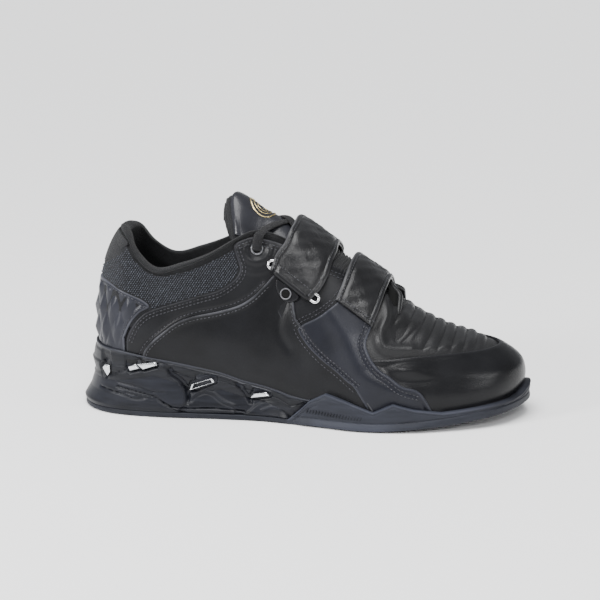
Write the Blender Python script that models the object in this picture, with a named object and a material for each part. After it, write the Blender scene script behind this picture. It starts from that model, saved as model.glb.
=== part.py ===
"""Right weightlifting shoe, built as a shoemaker would assemble it.

Frame: metres, +X to the toe, -Y to the outer (lateral) side, +Z up. The origin is on the floor,
under the middle of the shoe. Stations run from the heel (share 0) to the toe (share 1).
"""
import math

import bmesh
import bpy
from mathutils import Vector
from mathutils.bvhtree import BVHTree

# Driving dimensions
SHOE_LENGTH = 0.304
BALL_WIDTH = 0.114
TAB_HEIGHT = 0.1245
HEEL_LIFT = 0.0255
FOREFOOT_STACK = 0.0075
TOE_SPRING = 0.0095
OUTSOLE = 0.0035
RAND_HEIGHT = 0.013
WING_HEIGHT = 0.023
WAVE_HEIGHT = 0.028
FEATHER_HEEL = 0.0135
FEATHER_FLANK = 0.0056
FEATHER_TOE = 0.0048
UPPER_WALL = 0.0022
COLLAR_PAD = 0.0042
CRADLE_LIP = 0.0018
CRADLE_TIP = 0.0008
LIP_HEIGHT = 0.009
OVERLAY = 0.0012
INSOLE = 0.003
TONGUE_THICK = 0.0052
TONGUE_SPAN = 0.052
STRAP_THICK = 0.0032
UPPER_STRAP_WIDTH = 0.034
LOWER_STRAP_WIDTH = 0.031
RING_WIRE = 0.0012
RING_DEPTH = 0.0052
RING_OVERHANG = 0.003
STRAP_SEAT = 0.0024
LACE_RADIUS = 0.0017
EYELET_RADIUS = 0.0044
EYELET_WIRE = 0.0009
RIVET_RADIUS = 0.0024
INSERT_THICK = 0.0012
GROOVE_WIDTH = 0.0028
GROOVE_DEPTH = 0.0014
GAP = 0.0003

# Sole side, from the floor up: inset from the outsole's edge at the heel and along the flank
BLOCK_FOOT = (0.0008, 0.0010)
BLOCK_FLARE = (0.0002, 0.0004)
BLOCK_WAIST = (0.0050, 0.0016)
BLOCK_EDGE = (0.0078, 0.0030)
CRADLE_KNEE = (0.0052, 0.0022)
CRADLE_EDGE = (0.0078, 0.0034)
FLARE_AT = 0.12
WAIST_AT = 0.55
KNEE_AT = 0.45
EDGE_ROUND = 0.0011

# Collar padding: where it starts along the shoe and up the wall
PAD_FRONT = 0.38
PAD_FADE = 0.10
PAD_START = 0.66
PAD_RAMP = 0.22

# Cutting of the overlays: reach past the side, distance kept from the middle, seam width
REACH = BALL_WIDTH
MIDLINE = 0.004
SEAM = 0.0018
SEAM_DROP = 0.004

LACE_REACH = 0.0145
LACE_LIFT = 0.0009
LACE_STEPS = 6
EYELET_SPOT = (0.411, 0.908)
GROOVES = (0.08, 0.13, 0.18, 0.23, 0.60, 0.64, 0.68, 0.72, 0.76, 0.80, 0.84)
GROOVE_MARGIN = 0.012
CRADLE_FRONT = 0.533
BLOCK_FRONT = 0.487
LATERAL = -1
MEDIAL = 1
PATH_STEPS = 11

# Loft stations, as shares of the length
STATIONS = (0.0, 0.004, 0.016, 0.036, 0.063, 0.098, 0.14, 0.186, 0.235, 0.286, 0.336, 0.385,
            0.43, 0.465, 0.487, 0.51, 0.533, 0.569, 0.615, 0.674, 0.717, 0.763, 0.822,
            0.865, 0.905, 0.94, 0.967, 0.986, 0.997, 1.0)

# Plan of the outsole: share of length, lateral and medial offset as shares of the ball width
OUTLINE = (
    (0.000, 0.000, 0.000),
    (0.040, -0.246, 0.238),
    (0.100, -0.337, 0.324),
    (0.200, -0.370, 0.356),
    (0.320, -0.362, 0.325),
    (0.420, -0.368, 0.285),
    (0.480, -0.398, 0.292),
    (0.560, -0.446, 0.360),
    (0.640, -0.498, 0.452),
    (0.720, -0.493, 0.500),
    (0.800, -0.452, 0.488),
    (0.880, -0.368, 0.448),
    (0.940, -0.262, 0.378),
    (0.980, -0.120, 0.272),
    (1.000, 0.080, 0.080),
)

# Side levels: share of length, heel lift, rand above the footbed, wing top, block top
LEVELS = (
    (0.000, 1.00, 1.00, 0.152, 0.80),
    (0.100, 0.97, 0.93, 0.152, 0.80),
    (0.186, 0.90, 0.75, 0.152, 1.00),
    (0.235, 0.84, 0.70, 0.152, 0.86),
    (0.286, 0.75, 0.65, 0.152, 0.62),
    (0.336, 0.64, 0.63, 0.152, 0.70),
    (0.385, 0.50, 0.52, 0.152, 0.54),
    (0.430, 0.37, 0.55, 0.152, 0.47),
    (0.465, 0.28, 0.51, 0.152, 0.34),
    (0.487, 0.23, 0.45, 0.152, 0.16),
    (0.510, 0.18, 0.44, 0.430, 0.16),
    (0.533, 0.14, 0.46, 0.740, 0.16),
    (0.569, 0.09, 0.02, 1.000, 0.16),
    (0.615, 0.04, 0.02, 0.830, 0.16),
    (0.674, 0.00, 0.02, 0.565, 0.16),
    (0.717, 0.00, 0.02, 0.826, 0.16),
    (0.763, 0.00, 0.02, 0.650, 0.16),
    (0.822, 0.00, 0.02, 0.540, 0.16),
    (0.905, 0.00, 0.02, 0.620, 0.16),
    (0.967, 0.00, 0.02, 0.690, 0.16),
    (1.000, 0.00, 0.02, 0.810, 0.16),
)
LEVEL_NAMES = ("share", "lift", "rand", "wing", "block")

# Opening edge: share of length below it, then its place as shares of length, ball width, tab height
OPENING = (
    (0.000, 0.095, 0.000, 0.982),
    (0.045, 0.103, 0.105, 0.982),
    (0.100, 0.121, 0.186, 0.948),
    (0.170, 0.152, 0.254, 0.845),
    (0.230, 0.194, 0.289, 0.790),
    (0.290, 0.252, 0.303, 0.818),
    (0.345, 0.307, 0.287, 0.873),
    (0.395, 0.360, 0.248, 0.946),
    (0.435, 0.405, 0.211, 0.988),
    (0.485, 0.457, 0.189, 0.960),
    (0.530, 0.507, 0.184, 0.900),
    (0.610, 0.572, 0.184, 0.815),
    (0.670, 0.618, 0.175, 0.747),
    (0.750, 0.664, 0.149, 0.675),
    (0.820, 0.688, 0.114, 0.643),
    (0.880, 0.701, 0.079, 0.622),
    (0.950, 0.712, 0.035, 0.610),
    (1.000, 0.717, 0.000, 0.606),
)

# Wall bow: share of length, rise and drop (shares of tab height), lean and reach (of ball width)
BOW = (
    (0.00, 0.209, 0.140, 0.046, 0.150),
    (0.10, 0.205, 0.160, 0.058, 0.080),
    (0.23, 0.200, 0.177, 0.052, 0.020),
    (0.40, 0.240, 0.270, 0.060, 0.035),
    (0.53, 0.257, 0.177, 0.050, 0.158),
    (0.67, 0.250, 0.145, 0.044, 0.210),
    (0.82, 0.215, 0.145, 0.035, 0.280),
    (0.92, 0.236, 0.200, 0.050, 0.340),
    (1.00, 0.272, 0.235, 0.070, 0.372),
)

# Tongue: place along the length, height of its crown, half width, drop of its sides, thickness
TONGUE = (
    (0.680, 0.570, 0.62, 0.030, 0.55),
    (0.640, 0.655, 0.70, 0.045, 0.60),
    (0.590, 0.770, 0.76, 0.062, 0.70),
    (0.530, 0.895, 0.80, 0.080, 0.85),
    (0.480, 0.988, 0.80, 0.105, 0.95),
    (0.437, 1.066, 0.80, 0.158, 1.05),
    (0.398, 1.122, 0.86, 0.186, 1.15),
    (0.366, 1.156, 0.86, 0.210, 1.25),
    (0.345, 1.170, 0.84, 0.222, 1.10),
    (0.338, 1.160, 0.78, 0.214, 0.70),
)

# Strap centre lines from the near end to the far end: shares of length, ball width and tab
# height, then how closely that row hugs the upper
UPPER_STRAP = (
    (0.489, -0.300, 0.752, 1.0),
    (0.495, -0.260, 0.812, 1.0),
    (0.504, -0.222, 0.874, 1.0),
    (0.515, -0.180, 0.924, 0.0),
    (0.524, -0.100, 0.950, 0.0),
    (0.529, 0.000, 0.958, 0.0),
    (0.532, 0.100, 0.948, 0.0),
    (0.535, 0.180, 0.914, 0.0),
    (0.537, 0.225, 0.850, 1.0),
    (0.537, 0.270, 0.765, 1.0),
    (0.537, 0.300, 0.680, 1.0),
    (0.537, 0.330, 0.600, 1.0),
)
LOWER_STRAP = (
    (0.630, -0.330, 0.598, 1.0),
    (0.638, -0.260, 0.655, 1.0),
    (0.645, -0.195, 0.718, 0.0),
    (0.650, -0.105, 0.756, 0.0),
    (0.652, 0.000, 0.768, 0.0),
    (0.654, 0.105, 0.758, 0.0),
    (0.655, 0.195, 0.722, 0.0),
    (0.656, 0.260, 0.655, 1.0),
    (0.656, 0.300, 0.595, 1.0),
    (0.655, 0.330, 0.540, 1.0),
)
STRAP_SLOPE = -0.68

# Overlay edges in the side view, as shares of length and tab height, down to the sole's top edge
COUNTER_TOP = ((-0.02, 0.715), (0.053, 0.715), (0.082, 0.707), (0.125, 0.667), (0.164, 0.626),
               (0.178, 0.592), (0.157, 0.560), (0.137, 0.502), (0.122, 0.424), (0.118, 0.300))
EYESTAY_TOP = ((0.124, 0.300), (0.128, 0.420), (0.143, 0.497), (0.163, 0.550), (0.181, 0.575),
               (0.207, 0.598), (0.243, 0.627), (0.286, 0.660), (0.326, 0.688), (0.349, 0.720),
               (0.368, 0.760), (0.375, 0.805), (0.368, 0.860), (0.362, 0.925), (0.385, 0.958),
               (0.405, 0.965), (0.455, 0.938), (0.450, 0.850), (0.440, 0.770))
QUARTER_EDGE = ((0.432, 0.725), (0.405, 0.660), (0.372, 0.612), (0.326, 0.580), (0.280, 0.556),
                (0.243, 0.522), (0.211, 0.467), (0.181, 0.402), (0.164, 0.340), (0.160, 0.290))
SADDLE_BACK = ((0.507, 0.545), (0.513, 0.475), (0.533, 0.418), (0.563, 0.353), (0.592, 0.305),
               (0.618, 0.257), (0.635, 0.225), (0.660, 0.150))
SADDLE_HEAD = ((0.508, 0.600), (0.562, 0.660), (0.600, 0.700), (0.640, 0.680))
QUARTER_HEAD = ((0.455, 0.800), (0.500, 0.700))
SADDLE_FRONT = ((0.672, 0.590), (0.661, 0.506), (0.655, 0.458), (0.658, 0.418), (0.671, 0.361),
                (0.688, 0.318), (0.707, 0.289), (0.734, 0.241), (0.770, 0.209), (0.796, 0.110))
GUARD_TOP = ((0.691, 0.370), (0.750, 0.381), (0.812, 0.381), (0.878, 0.378), (0.951, 0.370),
             (1.020, 0.360))
UPPER_TAB = ((0.444, 0.722), (0.496, 0.634), (0.486, 0.575), (0.462, 0.590), (0.444, 0.655))
LOWER_TAB = ((0.611, 0.515), (0.664, 0.427), (0.654, 0.368), (0.624, 0.385), (0.610, 0.450))

# Bright inserts in the side view: each a list of corners, shares of length and of the sole's
# height at the heel, from the floor to the top of the rand
SOLE_HEIGHT = FOREFOOT_STACK + HEEL_LIFT + RAND_HEIGHT
INSERTS = {
    "insert_heel": ((0.059, 0.650), (0.068, 0.709), (0.079, 0.698), (0.079, 0.609), (0.071, 0.541)),
    "insert_back": ((0.128, 0.720), (0.145, 0.766), (0.154, 0.706), (0.132, 0.663)),
    "insert_long": ((0.150, 0.766), (0.191, 0.812), (0.194, 0.763), (0.163, 0.696)),
    "insert_middle": ((0.268, 0.414), (0.273, 0.503), (0.316, 0.595), (0.321, 0.541)),
    "insert_front": ((0.402, 0.330), (0.409, 0.395), (0.434, 0.425), (0.441, 0.379)),
}
INSERT_SHOULDER = 0.0004

MATERIALS = {
    "rubber": ((0.022, 0.022, 0.025), 0.62, 0.0),
    "sole_plastic": ((0.030, 0.031, 0.036), 0.48, 0.0),
    "bright_insert": ((0.72, 0.73, 0.75), 0.28, 0.85),
    "leather": ((0.020, 0.020, 0.022), 0.42, 0.0),
    "mesh_fabric": ((0.024, 0.024, 0.026), 0.75, 0.0),
    "lining": ((0.012, 0.012, 0.013), 0.90, 0.0),
    "ring_metal": ((0.70, 0.70, 0.71), 0.25, 1.0),
    "lace": ((0.016, 0.016, 0.017), 0.80, 0.0),
}


def clear_scene():
    for thing in list(bpy.data.objects):
        bpy.data.objects.remove(thing)


def make_materials():
    made = {}
    for name, (colour, roughness, metallic) in MATERIALS.items():
        material = bpy.data.materials.new(name)
        material.use_nodes = True
        shader = material.node_tree.nodes["Principled BSDF"]
        shader.inputs["Base Color"].default_value = (*colour, 1.0)
        shader.inputs["Roughness"].default_value = roughness
        shader.inputs["Metallic"].default_value = metallic
        made[name] = material
    return made


def place(x, y, z):
    """A point from its shares of length, ball width and tab height."""
    return Vector(((x - 0.5) * SHOE_LENGTH, y * BALL_WIDTH, z * TAB_HEIGHT))


def angle(share):
    return math.acos(1.0 - 2.0 * min(1.0, max(0.0, share)))


def read(table, share, column, odd=False):
    """Smooth value of a column at a share of the length; odd columns cross zero at both ends."""
    knots = [angle(row[0]) for row in table]
    values = [row[column] for row in table]
    here = angle(share)
    index = 0
    while index < len(knots) - 2 and here > knots[index + 1]:
        index += 1

    def slope(i):
        if 0 < i < len(knots) - 1:
            return (values[i + 1] - values[i - 1]) / (knots[i + 1] - knots[i - 1])
        if not odd:
            return 0.0
        j = 1 if i == 0 else i
        return (values[j] - values[j - 1]) / (knots[j] - knots[j - 1])

    span = knots[index + 1] - knots[index]
    f = (here - knots[index]) / span
    start = (2 * f ** 3 - 3 * f ** 2 + 1) * values[index] + (f ** 3 - 2 * f ** 2 + f) * span * slope(index)
    end = (3 * f ** 2 - 2 * f ** 3) * values[index + 1] + (f ** 3 - f ** 2) * span * slope(index + 1)
    return start + end


def straight(table, share, column):
    """Value of a column on straight lines between its rows."""
    for low, high in zip(table, table[1:]):
        if share <= high[0]:
            f = (share - low[0]) / (high[0] - low[0])
            return low[column] + (high[column] - low[column]) * f
    return table[-1][column]


def spring(share):
    rise = max(0.0, (share - 0.68) / 0.32)
    return TOE_SPRING * rise ** 1.3


def bed(share):
    """Height of the footbed."""
    return FOREFOOT_STACK + HEEL_LIFT * read(LEVELS, share, LEVEL_NAMES.index("lift")) + spring(share)


def rand_top(share):
    return bed(share) + RAND_HEIGHT * straight(LEVELS, share, LEVEL_NAMES.index("rand"))


def wing_top(share):
    plate = OUTSOLE + spring(share)
    return max(plate, WING_HEIGHT * straight(LEVELS, share, LEVEL_NAMES.index("wing")))


def cradle_top(share):
    """Top of the band round the heel and arch, which ends against the forefoot wall."""
    return max(rand_top(share), wing_top(share) + GAP + CRADLE_TIP)


def sole_top(share):
    band = cradle_top(share) if share <= CRADLE_FRONT else 0.0
    return max(band, bed(share), wing_top(share))


def block_top(share):
    return WAVE_HEIGHT * straight(LEVELS, share, LEVEL_NAMES.index("block"))


def plan(share, side):
    """Point of the outsole's edge and its outward direction, in plan."""
    column = 1 if side == LATERAL else 2
    turn = 0.002

    def at(a):
        flip = side
        if a < 0.0 or a > math.pi:
            flip = -side
            a = abs(a) if a < 0.0 else 2.0 * math.pi - a
        s = 0.5 * (1.0 - math.cos(a))
        col = 1 if flip == LATERAL else 2
        return Vector(((s - 0.5) * SHOE_LENGTH, read(OUTLINE, s, col, odd=True) * BALL_WIDTH))

    here = angle(share)
    point = Vector(((share - 0.5) * SHOE_LENGTH, read(OUTLINE, share, column, odd=True) * BALL_WIDTH))
    along = (at(here + turn) - at(here - turn)).normalized()
    outward = Vector((-along.y, along.x)) * side
    return point, outward


def rim(share, side, heel, flank, toe, z):
    """Edge point moved inward, by amounts that blend from heel to flank to toe."""
    point, outward = plan(share, side)
    back = max(0.0, -outward.x) ** 2
    front = max(0.0, outward.x) ** 2
    inset = flank + (heel - flank) * back + (toe - flank) * front
    moved = point - outward * inset
    return Vector((moved.x, moved.y, z))


def level_push(share, side):
    """Outward direction of the outsole's edge, level."""
    outward = plan(share, side)[1]
    return Vector((outward.x, outward.y, 0.0))


def edge_in(share, side, inset, z):
    """Point of the sole's side behind the toe, from its insets at the heel and the flank."""
    return rim(share, side, inset[0], inset[1], inset[1], z)


def feather(share, side):
    """Lower edge of the upper's outer face, on the footbed."""
    return rim(share, side, FEATHER_HEEL, FEATHER_FLANK, FEATHER_TOE, bed(share) + GAP)


def opening(share, side):
    x = read(OPENING, share, 1)
    y = read(OPENING, share, 2, odd=True) * side
    z = read(OPENING, share, 3)
    return place(x, y, z)


def upper_path(share, side, v):
    """Point of the upper's outer face, v from the feather (0) to the opening (1)."""
    low = feather(share, side)
    top = opening(share, side)
    outward = plan(share, side)[1]
    rise = read(BOW, share, 1) * TAB_HEIGHT
    drop = read(BOW, share, 2) * TAB_HEIGHT
    lean = read(BOW, share, 3) * BALL_WIDTH
    reach = read(BOW, share, 4) * BALL_WIDTH
    first = low + Vector((outward.x * lean, outward.y * lean, rise))
    away = Vector((low.x - top.x, low.y - top.y, 0.0)).normalized()
    second = top + away * reach - Vector((0.0, 0.0, drop))
    w = 1.0 - v
    return low * w ** 3 + first * (3 * w * w * v) + second * (3 * w * v * v) + top * v ** 3


def path_at_height(share, side, z):
    """Point of the upper's outer face at a height near the sole."""
    low, high = 0.0, 0.6
    for _ in range(24):
        middle = 0.5 * (low + high)
        if upper_path(share, side, middle).z < z:
            low = middle
        else:
            high = middle
    return upper_path(share, side, low)


def columns():
    """Stations round the shoe: heel, lateral side, toe, medial side."""
    around = [(s, LATERAL) for s in STATIONS]
    around += [(s, MEDIAL) for s in reversed(STATIONS[1:-1])]
    return around


def upper_grid():
    """Points and normals of the outer face, a column for each station, a lip ring last."""
    around = columns()
    grid = []
    for share, side in around:
        column = [upper_path(share, side, i / PATH_STEPS) for i in range(PATH_STEPS + 1)]
        front = max(0.0, (share - 0.70) / 0.30)
        lip = LIP_HEIGHT * front ** 0.7 + 0.0012
        step = (column[-1] - column[-2]).normalized()
        lift = Vector((-0.35, 0.0, 0.94)) * front + step * (1.0 - front)
        column.append(column[-1] + lift.normalized() * lip)
        grid.append(column)
    normals = []
    count = len(grid)
    for c in range(count):
        rows = len(grid[c])
        column = []
        for i in range(rows):
            across = grid[(c + 1) % count][i] - grid[c - 1][i]
            along = grid[c][min(i + 1, rows - 1)] - grid[c][max(i - 1, 0)]
            column.append(across.cross(along).normalized())
        normals.append(column)
    return grid, normals


def wall_at(share, v):
    """Thickness of the upper, padded round the ankle."""
    collar = min(1.0, max(0.0, (PAD_FRONT - share) / PAD_FADE))
    ramp = min(1.0, max(0.0, (v - PAD_START) / PAD_RAMP))
    return UPPER_WALL + COLLAR_PAD * collar * ramp * ramp * (3 - 2 * ramp)


def finish(name, mesh, material):
    thing = bpy.data.objects.new(name, mesh)
    bpy.context.scene.collection.objects.link(thing)
    mesh.materials.clear()
    mesh.materials.append(material)
    return thing


def solid(name, points, faces, material):
    """Closed solid from points and faces, with doubles merged and faces turned out."""
    mesh = bpy.data.meshes.new(name)
    mesh.from_pydata([tuple(p) for p in points], [], faces)
    work = bmesh.new()
    work.from_mesh(mesh)
    bmesh.ops.remove_doubles(work, verts=work.verts, dist=1e-6)
    bmesh.ops.dissolve_degenerate(work, edges=work.edges, dist=1e-6)
    bmesh.ops.recalc_face_normals(work, faces=work.faces)
    work.to_mesh(mesh)
    work.free()
    return finish(name, mesh, material)


def ring_faces(count, levels, start=0, closed=True):
    """Triangles between levels of rings, each ring with count points."""
    faces = []
    around = count if closed else count - 1
    for level in range(levels - 1):
        for c in range(around):
            d = (c + 1) % count
            low = start + level * count
            high = low + count
            faces.append((low + c, low + d, high + d))
            faces.append((low + c, high + d, high + c))
    return faces


def paired_cap(count, start):
    """Strips across a closed ring of stations, from one side to the other."""
    faces = []
    half = count // 2
    for k in range(half):
        left, left_next = k, k + 1
        right, right_next = (count - k) % count, (count - k - 1) % count
        corners = [left, left_next, right_next, right]
        distinct = []
        for corner in corners:
            if start + corner not in distinct:
                distinct.append(start + corner)
        if len(distinct) > 2:
            faces.append(tuple(distinct))
    return faces


def stacked(name, rings, material):
    """Solid whose side runs through rings of stations and whose ends are capped."""
    count = len(rings[0])
    points = [p for ring in rings for p in ring]
    faces = ring_faces(count, len(rings))
    faces += paired_cap(count, 0)
    faces += paired_cap(count, (len(rings) - 1) * count)
    return solid(name, points, faces, material)


def cut(target, cutter, operation):
    """Apply a Boolean and delete its cutter."""
    modifier = target.modifiers.new("cut", "BOOLEAN")
    modifier.operation = operation
    modifier.solver = "EXACT"
    modifier.object = cutter
    graph = bpy.context.evaluated_depsgraph_get()
    mesh = bpy.data.meshes.new_from_object(target.evaluated_get(graph))
    target.modifiers.clear()
    old = target.data
    target.data = mesh
    bpy.data.meshes.remove(old)
    bpy.data.objects.remove(cutter)
    work = bmesh.new()
    work.from_mesh(mesh)
    bmesh.ops.dissolve_limit(work, angle_limit=0.004, verts=work.verts, edges=work.edges)
    bmesh.ops.triangulate(work, faces=work.faces)
    work.to_mesh(mesh)
    work.free()


def outsole(material):
    """Thin rubber sole whose forefoot wall rises into two peaks on each side."""
    rings = [[], [], [], [], []]
    for share, side in columns():
        low = spring(share)
        plate = low + OUTSOLE
        top = wing_top(share)
        rings[0].append(rim(share, side, 0.002, 0.0012, 0.0014, low))
        rings[1].append(rim(share, side, 0.0004, 0.0, 0.0, low + EDGE_ROUND))
        rise = top - plate
        outer = rim(share, side, 0.0006, 0.0004 + 0.04 * rise, 0.0002, top)
        if rise > 0.0004:
            push = level_push(share, side)
            inner = path_at_height(share, side, top) + push * GAP
            foot = feather(share, side) + push * (2 * GAP)
            inner.z = top
            foot.z = plate
        else:
            inner = rim(share, side, 0.003, 0.0026, 0.0026, plate)
            foot = rim(share, side, 0.006, FEATHER_FLANK, FEATHER_TOE, plate)
        rings[2].append(outer)
        rings[3].append(inner)
        rings[4].append(foot)
    sole = stacked("outsole", rings, material)
    for share in GROOVES:
        cut(sole, sole_groove(share), "DIFFERENCE")
    return sole


def sole_groove(share):
    """Cutter of one transverse groove under the sole, short of both edges."""
    near = plan(share, LATERAL)[0].y + GROOVE_MARGIN
    far = plan(share, MEDIAL)[0].y - GROOVE_MARGIN
    x = (share - 0.5) * SHOE_LENGTH
    low = spring(share)
    half = GROOVE_WIDTH / 2
    points = []
    for y in (near, far):
        for dx, z in ((-half, low - 0.002), (half, low - 0.002), (half, low + GROOVE_DEPTH),
                      (-half, low + GROOVE_DEPTH)):
            points.append(Vector((x + dx, y, z)))
    faces = [(0, 1, 2, 3), (4, 5, 6, 7), (0, 1, 5, 4), (1, 2, 6, 5), (2, 3, 7, 6), (3, 0, 4, 7)]
    return solid("groove", points, faces, None)


def heel_block(material):
    """Flared block under the heel and arch, with a wavy top."""
    shares = [s for s in STATIONS if s <= BLOCK_FRONT]
    order = [(s, LATERAL) for s in reversed(shares)] + [(s, MEDIAL) for s in shares[1:]]
    rings = [[], [], [], []]
    for share, side in order:
        bottom = OUTSOLE + GAP
        top = block_top(share)
        for ring, inset, part in zip(rings, (BLOCK_FOOT, BLOCK_FLARE, BLOCK_WAIST, BLOCK_EDGE),
                                     (0.0, FLARE_AT, WAIST_AT, 1.0)):
            ring.append(edge_in(share, side, inset, bottom + part * (top - bottom)))
    count = len(order)
    points = [p for ring in rings for p in ring]
    faces = ring_faces(count, 4, closed=False)
    half = count // 2
    for level in (0, 3):
        base = level * count
        for k in range(half):
            corners = [base + k, base + k + 1, base + count - 2 - k, base + count - 1 - k]
            if corners[1] == corners[2]:
                corners.pop(1)
            faces.append(tuple(corners))
    for level in range(3):
        low = level * count
        high = low + count
        faces.append((low, low + count - 1, high + count - 1, high))
    return solid("heel_block", points, faces, material)


def midsole(material):
    """Platform between the block and the footbed, inside the cradle and the forefoot wall."""
    rings = [[], []]
    for share, side in columns():
        under = max(block_top(share), OUTSOLE + spring(share)) + GAP
        foot = feather(share, side) + level_push(share, side) * GAP
        rings[0].append(Vector((foot.x, foot.y, under)))
        rings[1].append(Vector((foot.x, foot.y, bed(share))))
    return stacked("midsole", rings, material)


def cradle(material):
    """Firm band round the heel and arch, from the block up over the upper's lower edge."""
    shares = [s for s in STATIONS if s <= CRADLE_FRONT]
    order = [(s, LATERAL) for s in reversed(shares)] + [(s, MEDIAL) for s in shares[1:]]
    rings = [[], [], [], [], []]
    for share, side in order:
        push = level_push(share, side)
        top = cradle_top(share)
        low = max(block_top(share), wing_top(share)) + GAP
        knee = low + KNEE_AT * (top - low)
        inner = path_at_height(share, side, top) + push * GAP
        foot = path_at_height(share, side, low) + push * (2 * GAP)
        inner.z = top
        foot.z = low
        rings[0].append(edge_in(share, side, BLOCK_EDGE, low))
        rings[1].append(edge_in(share, side, CRADLE_KNEE, knee))
        rings[2].append(inner + push * CRADLE_LIP)
        rings[3].append(inner)
        rings[4].append(foot)
    count = len(order)
    points = [p for ring in rings for p in ring]
    faces = ring_faces(count, 5, closed=False)
    for c in range(count - 1):
        faces.append((4 * count + c, 4 * count + c + 1, c + 1))
        faces.append((4 * count + c, c + 1, c))
    faces.append(tuple(r * count for r in range(5)))
    faces.append(tuple(r * count + count - 1 for r in range(5)))
    return solid("cradle", points, faces, material)


def insole(material):
    """Removable insole lying on the footbed inside the upper."""
    rings = [[], [], []]
    for share, side in columns():
        push = level_push(share, side)
        edge = feather(share, side) - push * (UPPER_WALL + 2 * GAP)
        low = bed(share) + GAP
        rings[0].append(Vector((edge.x, edge.y, low)))
        rings[1].append(Vector((edge.x, edge.y, low + 0.7 * INSOLE)))
        crown = edge - push * 0.002
        rings[2].append(Vector((crown.x, crown.y, low + INSOLE)))
    return stacked("insole", rings, material)


def upper(material, grid, normals):
    """Hollow upper, open at the collar and throat and underneath."""
    around = columns()
    count = len(around)
    rows = len(grid[0])
    outer = []
    inner = []
    for i in range(rows):
        for c in range(count):
            point = grid[c][i]
            wall = wall_at(around[c][0], min(1.0, i / PATH_STEPS))
            normal = normals[c][i]
            if i == 0:
                normal = Vector((normal.x, normal.y, 0.0)).normalized()
            outer.append(point)
            inner.append(point - normal * wall)
    faces = ring_faces(count, rows)
    size = count * rows
    faces += [tuple(reversed(face)) for face in ring_faces(count, rows, start=size)]
    for c in range(count):
        d = (c + 1) % count
        faces.append((c, d, size + d, size + c))
        last = (rows - 1) * count
        faces.append((last + c, last + d, size + last + d, size + last + c))
    return solid("upper", outer + inner, faces, material)


def overlay_form(grid, normals, inner, outer):
    """Closed skin that follows the upper between two distances from it."""
    count = len(grid)
    rows = len(grid[0]) - 1
    low = []
    high = []
    for i in range(rows):
        for c in range(count):
            low.append(grid[c][i] + normals[c][i] * inner)
            high.append(grid[c][i] + normals[c][i] * outer)
    faces = ring_faces(count, rows)
    size = count * rows
    faces += [tuple(reversed(face)) for face in ring_faces(count, rows, start=size)]
    last = (rows - 1) * count
    for c in range(count):
        d = (c + 1) % count
        faces.append((c, d, size + d, size + c))
        faces.append((last + c, last + d, size + last + d, size + last + c))
    return low + high, faces


def side_prism(corners, near, far):
    """Prism of a side-view outline between two distances across the shoe."""
    count = len(corners)
    points = [Vector((x, near, z)) for x, z in corners]
    points += [Vector((x, far, z)) for x, z in corners]
    faces = [tuple(range(count)), tuple(range(2 * count - 1, count - 1, -1))]
    for i in range(count):
        j = (i + 1) % count
        faces.append((i, j, count + j, count + i))
    return solid("prism", points, faces, None)


def overlay(name, form, corners, near, far, material):
    points, faces = form
    skin = solid(name, points, faces, material)
    cut(skin, side_prism(corners, near, far), "INTERSECT")
    skin.data.materials.clear()
    skin.data.materials.append(material)
    return skin


def sole_line(low, high):
    """Side-view points just above the sole's top edge, from one share of the length to another."""
    first, last = sorted((low, high))
    shares = [first] + [s for s in STATIONS if first + 0.006 < s < last - 0.006] + [last]
    line = []
    for share in shares if low < high else reversed(shares):
        inside = min(1.0, max(0.0, share))
        clear = 3 * GAP if share < 0.95 else 6 * GAP
        line.append(((share - 0.5) * SHOE_LENGTH, sole_top(inside) + clear))
    return line


def side_points(rows):
    return [((x - 0.5) * SHOE_LENGTH, z * TAB_HEIGHT) for x, z in rows]


def above_sole(rows):
    """Rows of a side-view edge that lie above the sole's top edge."""
    kept = []
    for x, z in rows:
        if z * TAB_HEIGHT > sole_top(min(1.0, max(0.0, x))) + 0.002:
            kept.append((x, z))
    return kept


def make_overlays(grid, normals, leather):
    """Leather pieces laid on the upper: counter, eyestays, quarters, saddles, toe guard."""
    form = overlay_form(grid, normals, GAP, GAP + OVERLAY)
    margin = SEAM / SHOE_LENGTH
    counter_edge = above_sole(COUNTER_TOP)
    counter = side_points(counter_edge) + sole_line(counter_edge[-1][0], -0.02)
    overlay("counter", form, counter, -REACH, REACH, leather)
    guard_front = above_sole(SADDLE_FRONT[4:])
    shifted = [(x + margin, z) for x, z in guard_front]
    guard = side_points(GUARD_TOP) + sole_line(1.02, shifted[-1][0]) + side_points(reversed(shifted))
    overlay("toe_guard", form, guard, -REACH, REACH, leather)
    for word, side in (("lateral", LATERAL), ("medial", MEDIAL)):
        near, far = sorted((side * MIDLINE, side * REACH))
        stay_edge = above_sole(EYESTAY_TOP)
        quarter_edge = above_sole(QUARTER_EDGE)
        stay = side_points(stay_edge) + side_points(quarter_edge)
        stay += sole_line(quarter_edge[-1][0], stay_edge[0][0])
        overlay("eyestay_" + word, form, stay, near, far, leather)
        back = above_sole(SADDLE_BACK)
        inset_edge = [(x + margin, z - SEAM_DROP) for x, z in quarter_edge]
        front_edge = [(x - margin, z) for x, z in back]
        quarter = side_points(reversed(inset_edge)) + side_points(QUARTER_HEAD)
        quarter += side_points(front_edge) + sole_line(front_edge[-1][0], inset_edge[-1][0])
        overlay("quarter_" + word, form, quarter, near, far, leather)
        front = above_sole(SADDLE_FRONT)
        saddle = side_points(reversed(back)) + side_points(SADDLE_HEAD) + side_points(front)
        saddle += sole_line(front[-1][0], back[-1][0])
        overlay("saddle_" + word, form, saddle, near, far, leather)


def loft_sections(name, sections, material):
    """Solid through closed sections, capped at both ends."""
    count = len(sections[0])
    points = [p for section in sections for p in section]
    faces = ring_faces(count, len(sections))
    faces.append(tuple(range(count)))
    last = (len(sections) - 1) * count
    faces.append(tuple(range(last + count - 1, last - 1, -1)))
    return solid(name, points, faces, material)


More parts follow.
